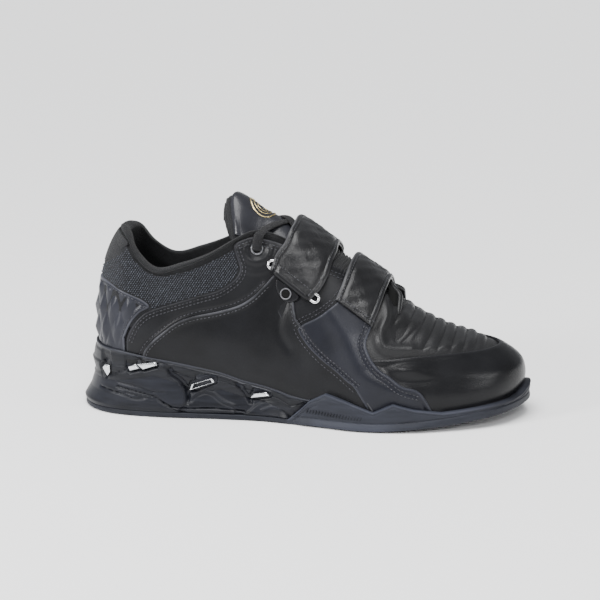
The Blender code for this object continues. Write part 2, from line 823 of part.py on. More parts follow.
def tongue_top(share_row, y):
    """Height of the tongue's outer face at a distance from its middle."""
    _, crown, width, drop, _ = share_row
    half = 0.5 * TONGUE_SPAN * width
    return crown * TAB_HEIGHT - drop * TAB_HEIGHT * (y / half) ** 2


def tongue(material):
    sections = []
    across = (-1.0, -0.8, -0.45, 0.0, 0.45, 0.8, 1.0)
    for row in TONGUE:
        x, _, width, _, thick = row
        half = 0.5 * TONGUE_SPAN * width
        centre_x = (x - 0.5) * SHOE_LENGTH
        section = [Vector((centre_x, half * f, tongue_top(row, half * f))) for f in across]
        for f in reversed(across[1:-1]):
            depth = TONGUE_THICK * thick
            z = tongue_top(row, half * f) - depth
            section.append(Vector((centre_x - 0.35 * depth, half * f, z)))
        sections.append(section)
    return loft_sections("tongue", sections, material)


def hug_edge(tree, row, offset):
    """Inner point of a strap's edge, drawn onto the upper where its row says so."""
    x, y, z, hug = row
    point = place(x, y, z) + offset
    if hug == 0.0:
        return point
    hit, _ = seat(tree, point.x, point.z, 1 if y > 0 else -1)
    return point.lerp(hit, hug)


def strap_sections(rows, width, tree):
    """Four corners of the strap at each row: inner edges, then outer edges."""
    half = Vector((1.0, 0.0, STRAP_SLOPE)).normalized() * (width / 2)
    left = [hug_edge(tree, row, -half) for row in rows]
    right = [hug_edge(tree, row, half) for row in rows]
    sections = []
    last = len(rows) - 1
    for i in range(len(rows)):
        ahead = left[min(i + 1, last)] - left[max(i - 1, 0)]
        ahead += right[min(i + 1, last)] - right[max(i - 1, 0)]
        lift = (right[i] - left[i]).cross(ahead).normalized() * STRAP_THICK
        sections.append([left[i], right[i], right[i] + lift, left[i] + lift])
    return sections


def strap(name, rows, width, tree, material):
    """Band across the instep; its lower ends lie along the shoe's sides."""
    sections = strap_sections(rows, width, tree)
    loft_sections(name, sections, material)
    return sections


def wire_loop(name, middle, along, down, length, depth, radius, material):
    """Rounded rectangular ring of wire."""
    corner = depth * 0.35
    path = []
    for sx, sy, start in ((1, 1, 0.0), (-1, 1, 90.0), (-1, -1, 180.0), (1, -1, 270.0)):
        hub = along * (sx * (length / 2 - corner)) + down * (sy * (depth / 2 - corner))
        for step in range(3):
            a = math.radians(start + 45.0 * step)
            path.append(middle + hub + along * (corner * math.cos(a)) + down * (corner * math.sin(a)))
    normal = along.cross(down).normalized()
    points = []
    sides = 8
    count = len(path)
    for i, point in enumerate(path):
        tangent = (path[(i + 1) % count] - path[i - 1]).normalized()
        out = tangent.cross(normal).normalized()
        for k in range(sides):
            a = 2 * math.pi * k / sides
            points.append(point + out * (radius * math.cos(a)) + normal * (radius * math.sin(a)))
    faces = []
    for i in range(count):
        j = (i + 1) % count
        for k in range(sides):
            m = (k + 1) % sides
            faces.append((i * sides + k, j * sides + k, j * sides + m, i * sides + m))
    return solid(name, points, faces, material)


def torus(name, centre, normal, radius, wire, material):
    """Small round ring lying on a surface."""
    normal = normal.normalized()
    first = normal.orthogonal().normalized()
    second = normal.cross(first)
    points = []
    major, minor = 14, 6
    for i in range(major):
        a = 2 * math.pi * i / major
        out = first * math.cos(a) + second * math.sin(a)
        for k in range(minor):
            b = 2 * math.pi * k / minor
            points.append(centre + out * (radius + wire * math.cos(b)) + normal * (wire * math.sin(b)))
    faces = []
    for i in range(major):
        j = (i + 1) % major
        for k in range(minor):
            m = (k + 1) % minor
            faces.append((i * minor + k, j * minor + k, j * minor + m, i * minor + m))
    return solid(name, points, faces, material)


def disc(name, centre, normal, radius, height, material):
    """Low domed rivet head."""
    normal = normal.normalized()
    first = normal.orthogonal().normalized()
    second = normal.cross(first)
    sections = []
    for grow, rise in ((1.0, 0.0), (1.0, 0.4), (0.6, 1.0)):
        ring = []
        for k in range(12):
            a = 2 * math.pi * k / 12
            out = first * math.cos(a) + second * math.sin(a)
            ring.append(centre + out * (radius * grow) + normal * (height * rise))
        sections.append(ring)
    return loft_sections(name, sections, material)


def side_tree(grid, normals, lift):
    """Surface of the upper at a distance, for seating small pieces on it."""
    count = len(grid)
    rows = len(grid[0])
    points = [grid[c][i] + normals[c][i] * lift for i in range(rows) for c in range(count)]
    return BVHTree.FromPolygons(points, ring_faces(count, rows))


def seat(tree, x, z, side):
    """Point and outward normal where a side-view place meets the surface."""
    start = Vector((x, side * 0.2, z))
    hit, normal, _, _ = tree.ray_cast(start, Vector((0.0, -side, 0.0)))
    if normal.y * side < 0:
        normal = -normal
    return hit, normal


def lace(material):
    """Lace that crosses the tongue from side to side, one tube."""
    rows = TONGUE[1:6]
    stops = []
    for i in range(len(rows) - 1):
        low, high = rows[i], rows[i + 1]
        side = 1 if i % 2 else -1
        for step in range(LACE_STEPS):
            f = step / LACE_STEPS
            y = side * LACE_REACH * (1 - 2 * f)
            blend = [a + (b - a) * f for a, b in zip(low, high)]
            x = (blend[0] - 0.5) * SHOE_LENGTH
            stops.append(Vector((x, y, tongue_top(blend, y) + LACE_RADIUS + LACE_LIFT)))
    data = bpy.data.curves.new("lace", "CURVE")
    data.dimensions = "3D"
    data.bevel_depth = LACE_RADIUS
    data.bevel_resolution = 2
    data.use_fill_caps = True
    spline = data.splines.new("POLY")
    spline.points.add(len(stops) - 1)
    for point, stop in zip(spline.points, stops):
        point.co = (*stop, 1.0)
    data.materials.append(material)
    thing = bpy.data.objects.new("lace", data)
    bpy.context.scene.collection.objects.link(thing)
    return thing


def sole_side(share, z, side):
    """Point of the sole's side face behind the forefoot wall, with its outward direction."""
    top = rand_top(share)
    wave = block_top(share)
    bottom = OUTSOLE + GAP
    knots = ((bottom, BLOCK_FOOT), (bottom + FLARE_AT * (wave - bottom), BLOCK_FLARE),
             (bottom + WAIST_AT * (wave - bottom), BLOCK_WAIST), (wave, BLOCK_EDGE),
             (wave + KNEE_AT * (top - wave), CRADLE_KNEE), (top, CRADLE_EDGE))
    inset = CRADLE_EDGE
    for low, high in zip(knots, knots[1:]):
        if z <= high[0]:
            f = (z - low[0]) / (high[0] - low[0])
            inset = [a + (b - a) * f for a, b in zip(low[1], high[1])]
            break
    return edge_in(share, side, inset, z), level_push(share, side)


def side_tile(name, corners, side, outer, inner, grow, material):
    """Small plate set in the sole's side, its corners in shares of length and sole height."""
    middle_x = sum(c[0] for c in corners) / len(corners)
    middle_z = sum(c[1] for c in corners) / len(corners)
    front = []
    back = []
    for x, z in corners:
        away = Vector(((x - middle_x) * SHOE_LENGTH, (z - middle_z) * SOLE_HEIGHT))
        moved = away + away.normalized() * grow
        share = middle_x + moved.x / SHOE_LENGTH
        height = middle_z * SOLE_HEIGHT + moved.y
        point, outward = sole_side(share, height, side)
        front.append(point + outward * outer)
        back.append(point - outward * inner)
    return loft_sections(name, [front, back], material)


def make_inserts(block, band, material):
    """Bright plates set in pockets along the joint of block and cradle."""
    for word, side in (("lateral", LATERAL), ("medial", MEDIAL)):
        for name, corners in INSERTS.items():
            for target in (block, band):
                pocket = side_tile("pocket", corners, side, 0.006, INSERT_THICK + GAP, 2 * GAP, None)
                cut(target, pocket, "DIFFERENCE")
            side_tile(name + "_" + word, corners, side, INSERT_SHOULDER, INSERT_THICK, 0.0, material)


def strap_ring(name, end, beside, tree, side, material):
    """Ring just past a strap's end, lying along the shoe's side."""
    middle = (end[0] + end[1]) / 2
    before = (beside[0] + beside[1]) / 2
    down = (middle - before).normalized()
    along = (end[1] - end[0]).normalized()
    down = (down - along * down.dot(along)).normalized()
    ahead = middle + down * RING_DEPTH
    hit, _ = seat(tree, ahead.x, ahead.z, side)
    down = (hit - middle).normalized()
    down = (down - along * down.dot(along)).normalized()
    lift = (end[3] - end[0]) / 2
    centre = middle + lift + down * (RING_DEPTH / 2 + RING_WIRE + GAP)
    length = (end[1] - end[0]).length + 2 * RING_OVERHANG
    wire_loop(name, centre, along, down, length, RING_DEPTH, RING_WIRE, material)


def make_fittings(grid, normals, paint):
    """Straps, the rings that they pass, ring tabs with their rivets, and the top eyelets."""
    seat_tree = side_tree(grid, normals, STRAP_SEAT)
    upper_ends = strap("upper_strap", UPPER_STRAP, UPPER_STRAP_WIDTH, seat_tree, paint["leather"])
    lower_ends = strap("lower_strap", LOWER_STRAP, LOWER_STRAP_WIDTH, seat_tree, paint["leather"])
    metal = paint["ring_metal"]
    strap_ring("upper_ring", upper_ends[0], upper_ends[1], seat_tree, LATERAL, metal)
    strap_ring("lower_ring", lower_ends[-1], lower_ends[-2], seat_tree, MEDIAL, metal)
    second = overlay_form(grid, normals, 2 * GAP + OVERLAY, 2 * GAP + 2 * OVERLAY)
    rivet_tree = side_tree(grid, normals, 3 * GAP + 2 * OVERLAY)
    for word, shape, side in (("upper", UPPER_TAB, LATERAL), ("lower", LOWER_TAB, MEDIAL)):
        near, far = sorted((side * MIDLINE, side * REACH))
        overlay(word + "_ring_tab", second, side_points(shape), near, far, paint["leather"])
        x = sum(c[0] for c in shape) / len(shape)
        z = sum(c[1] for c in shape) / len(shape)
        spot = place(x, 0.0, z)
        hit, normal = seat(rivet_tree, spot.x, spot.z, side)
        disc(word + "_rivet", hit, normal, RIVET_RADIUS, OVERLAY, metal)
    eyelet_tree = side_tree(grid, normals, 3 * GAP + OVERLAY + EYELET_WIRE)
    for word, side in (("lateral", LATERAL), ("medial", MEDIAL)):
        spot = place(EYELET_SPOT[0], 0.0, EYELET_SPOT[1])
        hit, normal = seat(eyelet_tree, spot.x, spot.z, side)
        torus("eyelet_" + word, hit, normal, EYELET_RADIUS - EYELET_WIRE, EYELET_WIRE,
              paint["leather"])


def main():
    clear_scene()
    paint = make_materials()
    grid, normals = upper_grid()
    outsole(paint["rubber"])
    block = heel_block(paint["sole_plastic"])
    band = cradle(paint["sole_plastic"])
    midsole(paint["sole_plastic"])
    make_inserts(block, band, paint["bright_insert"])
    insole(paint["lining"])
    upper(paint["mesh_fabric"], grid, normals)
    make_overlays(grid, normals, paint["leather"])
    tongue(paint["leather"])
    make_fittings(grid, normals, paint)
    lace(paint["lace"])


main()
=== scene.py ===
"""Black leather weightlifting shoe, dressed around its frame: leather panels over a mesh collar,
a padded tongue, two instep straps with rings, and a raised moulded sole with bright inserts.

Frame: metres, +X to the toe, -Y to the outer side, +Z up. The upper and the sole follow the same
sections as the frame, read at a finer step, so each piece lies where its solid lies.
"""
import math

import bmesh
import bpy
import numpy as np
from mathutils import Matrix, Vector
from mathutils.bvhtree import BVHTree


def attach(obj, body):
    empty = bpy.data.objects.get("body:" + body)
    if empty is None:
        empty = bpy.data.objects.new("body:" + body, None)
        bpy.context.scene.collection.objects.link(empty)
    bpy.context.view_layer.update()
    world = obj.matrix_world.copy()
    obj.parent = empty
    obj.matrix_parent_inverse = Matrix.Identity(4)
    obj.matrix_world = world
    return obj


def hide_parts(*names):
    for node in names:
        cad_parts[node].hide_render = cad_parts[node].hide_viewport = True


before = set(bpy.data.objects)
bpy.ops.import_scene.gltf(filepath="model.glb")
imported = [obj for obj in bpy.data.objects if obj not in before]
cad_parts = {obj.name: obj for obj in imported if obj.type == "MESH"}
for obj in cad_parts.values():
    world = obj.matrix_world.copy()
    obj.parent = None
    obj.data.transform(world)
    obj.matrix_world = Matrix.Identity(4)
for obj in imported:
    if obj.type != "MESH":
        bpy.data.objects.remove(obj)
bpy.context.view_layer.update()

# Sizes of the shoe
SHOE_LENGTH = 0.304
BALL_WIDTH = 0.114
TAB_HEIGHT = 0.1245
HEEL_LIFT = 0.0255
FOREFOOT_STACK = 0.0075
TOE_SPRING = 0.0095
OUTSOLE = 0.0035
RAND_HEIGHT = 0.013
WING_HEIGHT = 0.023
WAVE_HEIGHT = 0.028
FEATHER_HEEL = 0.0135
FEATHER_FLANK = 0.0056
FEATHER_TOE = 0.0048
UPPER_WALL = 0.0022
COLLAR_PAD = 0.0042
CRADLE_LIP = 0.0018
CRADLE_TIP = 0.0008
LIP_HEIGHT = 0.009
INSOLE = 0.003
TONGUE_THICK = 0.0052
TONGUE_SPAN = 0.052
STRAP_THICK = 0.0032
UPPER_STRAP_WIDTH = 0.034
LOWER_STRAP_WIDTH = 0.031
RING_WIRE = 0.0012
RING_DEPTH = 0.0052
RING_OVERHANG = 0.0037
RING_BELOW = -0.0006
RING_ASIDE = 0.0006
STRAP_SEAT = 0.0024
FOLD_ROUND = 0.0032
END_ROUND = 0.0012
TOP_LAYER = 0.0013
STITCH_INSET = 0.0023
EYELET_RADIUS = 0.0044
FRAME_WIDE = 0.0042
LIP_ROUND = 0.0008
BEVEL = 0.00012
GAP = 0.0003

BLOCK_FOOT = (0.0008, 0.0010)
BLOCK_FLARE = (0.0002, 0.0004)
BLOCK_WAIST = (0.0050, 0.0016)
BLOCK_EDGE = (0.0078, 0.0030)
CRADLE_KNEE = (0.0052, 0.0022)
CRADLE_EDGE = (0.0078, 0.0034)
FLARE_AT = 0.12
WAIST_AT = 0.55
KNEE_AT = 0.45
CRADLE_FRONT = 0.533
BLOCK_FRONT = 0.487
LATERAL = -1
MEDIAL = 1
BOTH_SIDES = (("lateral", LATERAL), ("medial", MEDIAL))
RAY_ASIDE = 0.2
RAY_ABOVE = 0.25
DOWN = Vector((0.0, 0.0, -1.0))
THROAT_HALF = 0.0225
TONGUE_TOP_HALF = 0.0218
BAND_HALF = 0.022

# Fineness of the visible surfaces
AROUND = 920
UP = 140
LINING_AROUND = 300

# Plan of the outsole: share of length, lateral and medial offset as shares of the ball width
OUTLINE = (
    (0.000, 0.000, 0.000), (0.040, -0.246, 0.238), (0.100, -0.337, 0.324), (0.200, -0.370, 0.356),
    (0.320, -0.362, 0.325), (0.420, -0.368, 0.285), (0.480, -0.398, 0.292), (0.560, -0.446, 0.360),
    (0.640, -0.498, 0.452), (0.720, -0.493, 0.500), (0.800, -0.452, 0.488), (0.880, -0.368, 0.448),
    (0.940, -0.262, 0.378), (0.980, -0.120, 0.272), (1.000, 0.080, 0.080),
)

# Side levels: share of length, heel lift, rand above the footbed, wing top, block top
LEVELS = (
    (0.000, 1.00, 1.00, 0.152, 0.80), (0.100, 0.97, 0.93, 0.152, 0.80),
    (0.186, 0.90, 0.75, 0.152, 1.00), (0.235, 0.84, 0.70, 0.152, 0.86),
    (0.286, 0.75, 0.65, 0.152, 0.62), (0.336, 0.64, 0.63, 0.152, 0.70),
    (0.385, 0.50, 0.52, 0.152, 0.54), (0.430, 0.37, 0.55, 0.152, 0.47),
    (0.465, 0.28, 0.51, 0.152, 0.34), (0.487, 0.23, 0.45, 0.152, 0.16),
    (0.510, 0.18, 0.44, 0.430, 0.16), (0.533, 0.14, 0.46, 0.740, 0.16),
    (0.569, 0.09, 0.02, 1.000, 0.16), (0.615, 0.04, 0.02, 0.830, 0.16),
    (0.674, 0.00, 0.02, 0.565, 0.16), (0.717, 0.00, 0.02, 0.826, 0.16),
    (0.763, 0.00, 0.02, 0.650, 0.16), (0.822, 0.00, 0.02, 0.540, 0.16),
    (0.905, 0.00, 0.02, 0.620, 0.16), (0.967, 0.00, 0.02, 0.700, 0.16),
    (0.985, 0.00, 0.02, 0.770, 0.16), (1.000, 0.00, 0.02, 0.930, 0.16),
)
LIFT, RAND, WING, BLOCK = 1, 2, 3, 4

# Opening edge: share of length below it, then its place as shares of length, ball width, tab height
OPENING = (
    (0.000, 0.095, 0.000, 0.982), (0.045, 0.103, 0.105, 0.982), (0.100, 0.121, 0.186, 0.948),
    (0.170, 0.152, 0.254, 0.838), (0.230, 0.194, 0.289, 0.782), (0.290, 0.252, 0.303, 0.818),
    (0.345, 0.307, 0.287, 0.873), (0.395, 0.360, 0.248, 0.946), (0.435, 0.405, 0.211, 0.988),
    (0.485, 0.457, 0.189, 0.960), (0.530, 0.507, 0.184, 0.900), (0.610, 0.572, 0.184, 0.815),
    (0.670, 0.618, 0.175, 0.747), (0.750, 0.664, 0.149, 0.675), (0.820, 0.688, 0.114, 0.643),
    (0.880, 0.701, 0.079, 0.622), (0.950, 0.712, 0.035, 0.610), (1.000, 0.717, 0.000, 0.606),
)

# Wall bow: share of length, rise and drop (shares of tab height), lean and reach (of ball width)
BOW = (
    (0.00, 0.209, 0.140, 0.046, 0.150), (0.10, 0.205, 0.160, 0.058, 0.080),
    (0.23, 0.200, 0.177, 0.052, 0.020), (0.40, 0.240, 0.270, 0.060, 0.035),
    (0.53, 0.257, 0.177, 0.050, 0.158), (0.67, 0.250, 0.145, 0.044, 0.210),
    (0.82, 0.215, 0.145, 0.035, 0.280), (0.92, 0.236, 0.200, 0.050, 0.340),
    (1.00, 0.272, 0.235, 0.070, 0.372),
)

# Tongue: place along the length, height of its crown, half width, drop of its sides, thickness
TONGUE = (
    (0.680, 0.570, 0.62, 0.030, 0.55), (0.640, 0.655, 0.70, 0.045, 0.60),
    (0.590, 0.770, 0.76, 0.062, 0.70), (0.530, 0.895, 0.80, 0.080, 0.85),
    (0.480, 0.988, 0.80, 0.105, 0.95), (0.437, 1.066, 0.80, 0.158, 1.05),
    (0.398, 1.122, 0.86, 0.186, 1.15), (0.366, 1.156, 0.86, 0.210, 1.25),
    (0.345, 1.170, 0.84, 0.222, 1.10), (0.338, 1.160, 0.78, 0.214, 0.70),
)

# Strap centre lines from the near end to the far end: shares of length, ball width, tab height, hug
UPPER_STRAP = (
    (0.492, -0.300, 0.748, 1.0), (0.503, -0.260, 0.798, 1.0), (0.516, -0.222, 0.856, 1.0),
    (0.523, -0.180, 0.914, 0.0), (0.528, -0.100, 0.944, 0.0), (0.529, 0.000, 0.958, 0.0),
    (0.531, 0.100, 0.950, 0.0), (0.535, 0.180, 0.914, 0.0), (0.537, 0.225, 0.850, 1.0),
    (0.537, 0.270, 0.765, 1.0), (0.537, 0.300, 0.680, 1.0), (0.537, 0.330, 0.600, 1.0),
)
UPPER_REACH = ((0.97, 0.97), (1.05, 1.08), (1.00, 1.06), (0.99, 1.00), (0.99, 0.98), (1.00, 0.93),
               (1.00, 0.88), (0.95, 0.88), (0.95, 0.88), (0.95, 0.88), (0.95, 0.88), (0.95, 0.88))
LOWER_REACH = ((1.00, 0.84),) * 10
LOWER_STRAP = (
    (0.630, -0.330, 0.598, 1.0), (0.638, -0.260, 0.655, 1.0), (0.645, -0.195, 0.718, 0.0),
    (0.650, -0.105, 0.756, 0.0), (0.652, 0.000, 0.768, 0.0), (0.654, 0.105, 0.758, 0.0),
    (0.655, 0.195, 0.722, 0.0), (0.656, 0.260, 0.655, 1.0), (0.656, 0.300, 0.595, 1.0),
    (0.655, 0.330, 0.540, 1.0),
)
STRAP_SLOPE = -0.68

# Panel edges in the side view, as shares of length and tab height
COUNTER_TOP = ((-0.02, 0.715), (0.053, 0.715), (0.082, 0.707), (0.125, 0.667), (0.164, 0.626),
               (0.178, 0.592), (0.157, 0.560), (0.137, 0.502), (0.122, 0.424), (0.118, 0.300))
EYESTAY_TOP = ((0.118, 0.220), (0.124, 0.300), (0.128, 0.420), (0.143, 0.497), (0.163, 0.550),
               (0.181, 0.575), (0.207, 0.598), (0.243, 0.627), (0.286, 0.660), (0.326, 0.688),
               (0.349, 0.720), (0.368, 0.760), (0.375, 0.805), (0.368, 0.860), (0.362, 0.925),
               (0.385, 0.958), (0.405, 0.965), (0.455, 0.938), (0.520, 0.870), (0.600, 0.790))
QUARTER_EDGE = ((0.500, 0.830), (0.458, 0.790), (0.432, 0.725), (0.405, 0.660), (0.372, 0.612),
                (0.326, 0.580), (0.280, 0.556), (0.243, 0.522), (0.211, 0.467), (0.181, 0.402),
                (0.164, 0.340), (0.156, 0.230))
SADDLE_BACK = ((0.506, 0.512), (0.514, 0.475), (0.533, 0.418), (0.563, 0.353),
               (0.592, 0.305), (0.618, 0.257), (0.635, 0.225), (0.665, 0.100))
SADDLE_FRONT = ((0.668, 0.660), (0.672, 0.590), (0.661, 0.506), (0.655, 0.458), (0.658, 0.418),
                (0.671, 0.361), (0.688, 0.318), (0.707, 0.289), (0.734, 0.241), (0.770, 0.209),
                (0.796, 0.110), (0.800, 0.060))
SADDLE_HEAD = ((0.506, 0.512), (0.522, 0.538), (0.545, 0.566), (0.567, 0.600), (0.587, 0.640),
               (0.600, 0.680), (0.612, 0.725), (0.650, 0.730))
QUARTER_FRONT = ((0.500, 0.860), (0.501, 0.800), (0.499, 0.720), (0.497, 0.640), (0.503, 0.560))
GUARD_TOP = ((0.640, 0.370), (0.691, 0.372), (0.750, 0.381), (0.812, 0.381), (0.878, 0.378),
             (0.951, 0.370), (1.020, 0.360))
TAB_SEAM = ((0.020, 0.740), (0.053, 0.787), (0.085, 0.835), (0.112, 0.880), (0.128, 0.915))
UPPER_TAB = ((0.456, 0.765), (0.506, 0.680), (0.498, 0.645), (0.476, 0.645), (0.458, 0.705))
LOWER_TAB = ((0.611, 0.515), (0.664, 0.427), (0.654, 0.368), (0.624, 0.385), (0.610, 0.450))

# Bright inserts in the side view: corners in shares of length and tab height
INSERTS = {
    "insert_heel": ((0.059, 0.240), (0.068, 0.262), (0.079, 0.258), (0.079, 0.225), (0.071, 0.200)),
    "insert_back": ((0.128, 0.266), (0.145, 0.283), (0.154, 0.261), (0.132, 0.245)),
    "insert_long": ((0.150, 0.283), (0.191, 0.300), (0.194, 0.282), (0.163, 0.257)),
    "insert_middle": ((0.268, 0.153), (0.273, 0.186), (0.316, 0.220), (0.321, 0.200)),
    "insert_front": ((0.402, 0.122), (0.409, 0.146), (0.434, 0.157), (0.441, 0.140)),
}
EYELET_SPOT = (0.411, 0.908)


# Shape of the shoe, read on arrays

def xyz(x, y, z):
    return np.stack(np.broadcast_arrays(x, y, z), axis=-1).astype(float)


def unit(v):
    return v / np.maximum(np.linalg.norm(v, axis=-1, keepdims=True), 1e-12)


def arc(share):
    return np.arccos(1.0 - 2.0 * np.clip(share, 0.0, 1.0))


def smooth(low, high, value):
    f = np.clip((value - low) / (high - low), 0.0, 1.0)
    return f * f * (3.0 - 2.0 * f)


def read(table, share, column, odd=False):
    """Smooth value of a column at shares of the length; odd columns cross zero at both ends."""
    rows = np.array(table)
    knots = arc(rows[:, 0])
    values = rows[:, column]
    slopes = np.zeros(len(knots))
    slopes[1:-1] = (values[2:] - values[:-2]) / (knots[2:] - knots[:-2])
    if odd:
        slopes[0] = (values[1] - values[0]) / (knots[1] - knots[0])
        slopes[-1] = (values[-1] - values[-2]) / (knots[-1] - knots[-2])
    here = arc(np.asarray(share, float))
    i = np.clip(np.searchsorted(knots, here) - 1, 0, len(knots) - 2)
    span = knots[i + 1] - knots[i]
    f = (here - knots[i]) / span
    low = (2 * f ** 3 - 3 * f ** 2 + 1) * values[i] + (f ** 3 - 2 * f ** 2 + f) * span * slopes[i]
    high = (3 * f ** 2 - 2 * f ** 3) * values[i + 1] + (f ** 3 - f ** 2) * span * slopes[i + 1]
    return low + high


def level(share, column):
    rows = np.array(LEVELS)
    return np.interp(share, rows[:, 0], rows[:, column])


def spring(share):
    return TOE_SPRING * np.maximum(0.0, (np.asarray(share) - 0.68) / 0.32) ** 1.3


def bed(share):
    return FOREFOOT_STACK + HEEL_LIFT * read(LEVELS, share, LIFT) + spring(share)


def wing_top(share):
    return np.maximum(OUTSOLE + spring(share), WING_HEIGHT * level(share, WING))


def cradle_top(share):
    rand = bed(share) + RAND_HEIGHT * level(share, RAND)
    return np.maximum(rand, wing_top(share) + GAP + CRADLE_TIP)


def block_top(share):
    return WAVE_HEIGHT * level(share, BLOCK)


def sole_top(share):
    share = np.asarray(share, float)
    band = np.where(share <= CRADLE_FRONT, cradle_top(share), 0.0)
    return np.maximum(np.maximum(band, bed(share)), wing_top(share))


def edge(share, side):
    """Outsole edge in plan and its outward direction."""
    share, side = np.broadcast_arrays(np.asarray(share, float), side)

    def at(a):
        over = (a < 0.0) | (a > math.pi)
        flip = np.where(over, -side, side)
        a = np.where(a < 0.0, -a, np.where(a > math.pi, 2.0 * math.pi - a, a))
        s = 0.5 * (1.0 - np.cos(a))
        y = np.where(flip < 0, read(OUTLINE, s, 1, True), read(OUTLINE, s, 2, True))
        return (s - 0.5) * SHOE_LENGTH, y * BALL_WIDTH

    here = arc(share)
    x, y = at(here)
    x1, y1 = at(here + 0.002)
    x0, y0 = at(here - 0.002)
    span = np.hypot(x1 - x0, y1 - y0)
    return x, y, -(y1 - y0) / span * side, (x1 - x0) / span * side


def rim(share, side, heel, flank, toe, z):
    """Edge moved inward by amounts that blend from heel to flank to toe."""
    x, y, ox, oy = edge(share, side)
    back = np.maximum(0.0, -ox) ** 2
    front = np.maximum(0.0, ox) ** 2
    inset = flank + (heel - flank) * back + (toe - flank) * front
    return xyz(x - ox * inset, y - oy * inset, z)


def push(share, side):
    _, _, ox, oy = edge(share, side)
    return xyz(ox, oy, 0.0)


def feather(share, side):
    return rim(share, side, FEATHER_HEEL, FEATHER_FLANK, FEATHER_TOE, bed(share) + GAP)


def upper_point(share, side, v):
    """Outer face of the upper, v from the feather edge (0) to the opening (1)."""
    low = feather(share, side)
    top = xyz((read(OPENING, share, 1) - 0.5) * SHOE_LENGTH,
              read(OPENING, share, 2, True) * side * BALL_WIDTH, read(OPENING, share, 3) * TAB_HEIGHT)
    out = push(share, side)
    rise = read(BOW, share, 1) * TAB_HEIGHT
    drop = read(BOW, share, 2) * TAB_HEIGHT
    lean = (read(BOW, share, 3) * BALL_WIDTH)[..., None]
    reach = (read(BOW, share, 4) * BALL_WIDTH)[..., None]
    first = low + out * lean + xyz(0.0, 0.0, rise)
    away = unit((low - top) * (1.0, 1.0, 0.0))
    second = top + away * reach - xyz(0.0, 0.0, drop)
    v = np.asarray(v, float)[..., None]
    w = 1.0 - v
    return low * w ** 3 + first * (3 * w * w * v) + second * (3 * w * v * v) + top * v ** 3


def path_at_height(share, side, z):
    """Outer face of the upper at heights near the sole."""
    low = np.zeros(len(share))
    high = np.full(len(share), 0.6)
    for _ in range(24):
        middle = 0.5 * (low + high)
        under = upper_point(share, side, middle)[:, 2] < z
        low = np.where(under, middle, low)
        high = np.where(under, high, middle)
    return upper_point(share, side, low)


def columns(count):
    """Shares and sides of columns spaced evenly round the shoe, heel first, lateral side first."""
    half = count // 2
    a = np.linspace(0.0, math.pi, 4001)
    s = 0.5 * (1.0 - np.cos(a))
    mean = 0.5 * (read(OUTLINE, s, 2, True) - read(OUTLINE, s, 1, True)) * BALL_WIDTH
    steps = np.hypot(np.diff((s - 0.5) * SHOE_LENGTH), np.diff(mean))
    run = np.concatenate([[0.0], np.cumsum(steps)])
    share = np.interp(np.linspace(0.0, run[-1], half + 1), run, s)
    shares = np.concatenate([share, share[-2:0:-1]])
    sides = np.concatenate([np.full(half + 1, LATERAL), np.full(half - 1, MEDIAL)])
    return shares, sides


def lip(share):
    front = np.maximum(0.0, (share - 0.70) / 0.30)
    return front, LIP_HEIGHT * front ** 0.7 + 0.0012


def wall_at(share, v):
    collar = np.clip((0.38 - share) / 0.10, 0.0, 1.0)
    ramp = np.clip((v - 0.66) / 0.22, 0.0, 1.0)
    return UPPER_WALL + COLLAR_PAD * collar * ramp * ramp * (3.0 - 2.0 * ramp)


def normals_of(grid):
    """Outward normals of a grid of rows by closed columns."""
    across = np.roll(grid, -1, axis=1) - np.roll(grid, 1, axis=1)
    along = np.empty_like(grid)
    along[1:-1] = grid[2:] - grid[:-2]
    along[0] = grid[1] - grid[0]
    along[-1] = grid[-1] - grid[-2]
    return unit(np.cross(across, along))


def upper_grid(around, up, lips=4):
    """Rows of the outer face up to the opening, then a few up the lip, with normals."""
    share, side = columns(around)
    v = np.linspace(0.0, 1.0, up)
    rows = [upper_point(share, side, np.full(len(share), t)) for t in v]
    front, tall = lip(share)
    step = unit(rows[-1] - rows[-2])
    rise = unit(xyz(-0.35, 0.0, 0.94) * front[:, None] + step * (1.0 - front[:, None]))
    for k in range(1, lips + 1):
        rows.append(rows[up - 1] + rise * (tall * k / lips)[:, None])
    grid = np.array(rows)
    return grid, normals_of(grid), share, side


# Side-view lines and fields

def sized(rows):
    return [((x - 0.5) * SHOE_LENGTH, z * TAB_HEIGHT) for x, z in rows]


def curve_through(points, steps=6):
    """Rows of numbers read smoothly between the given rows, such as points along a line."""
    p = np.array(points, float)
    p = np.vstack([2 * p[0] - p[1], p, 2 * p[-1] - p[-2]])
    line = []
    for i in range(1, len(p) - 2):
        for t in np.linspace(0.0, 1.0, steps, endpoint=False):
            line.append(0.5 * (2 * p[i] + (p[i + 1] - p[i - 1]) * t
                               + (2 * p[i - 1] - 5 * p[i] + 4 * p[i + 1] - p[i + 2]) * t * t
                               + (3 * p[i] - p[i - 1] - 3 * p[i + 1] + p[i + 2]) * t ** 3))
    line.append(p[-2])
    return np.array(line)


def under_rand(first, last, tuck=0.003):
    """Side-view line just below the sole's top edge, between two shares of the length."""
    share = np.linspace(first, last, 60)
    return np.stack([(share - 0.5) * SHOE_LENGTH, sole_top(np.clip(share, 0.0, 1.0)) - tuck], axis=-1)


def near(x, z, line):
    """Distance from side-view places to a line."""
    best = np.full(np.shape(x), 1.0)
    for (ax, az), (bx, bz) in zip(line[:-1], line[1:]):
        dx, dz = bx - ax, bz - az
        t = np.clip(((x - ax) * dx + (z - az) * dz) / max(dx * dx + dz * dz, 1e-14), 0.0, 1.0)
        best = np.minimum(best, np.hypot(x - ax - t * dx, z - az - t * dz))
    return best


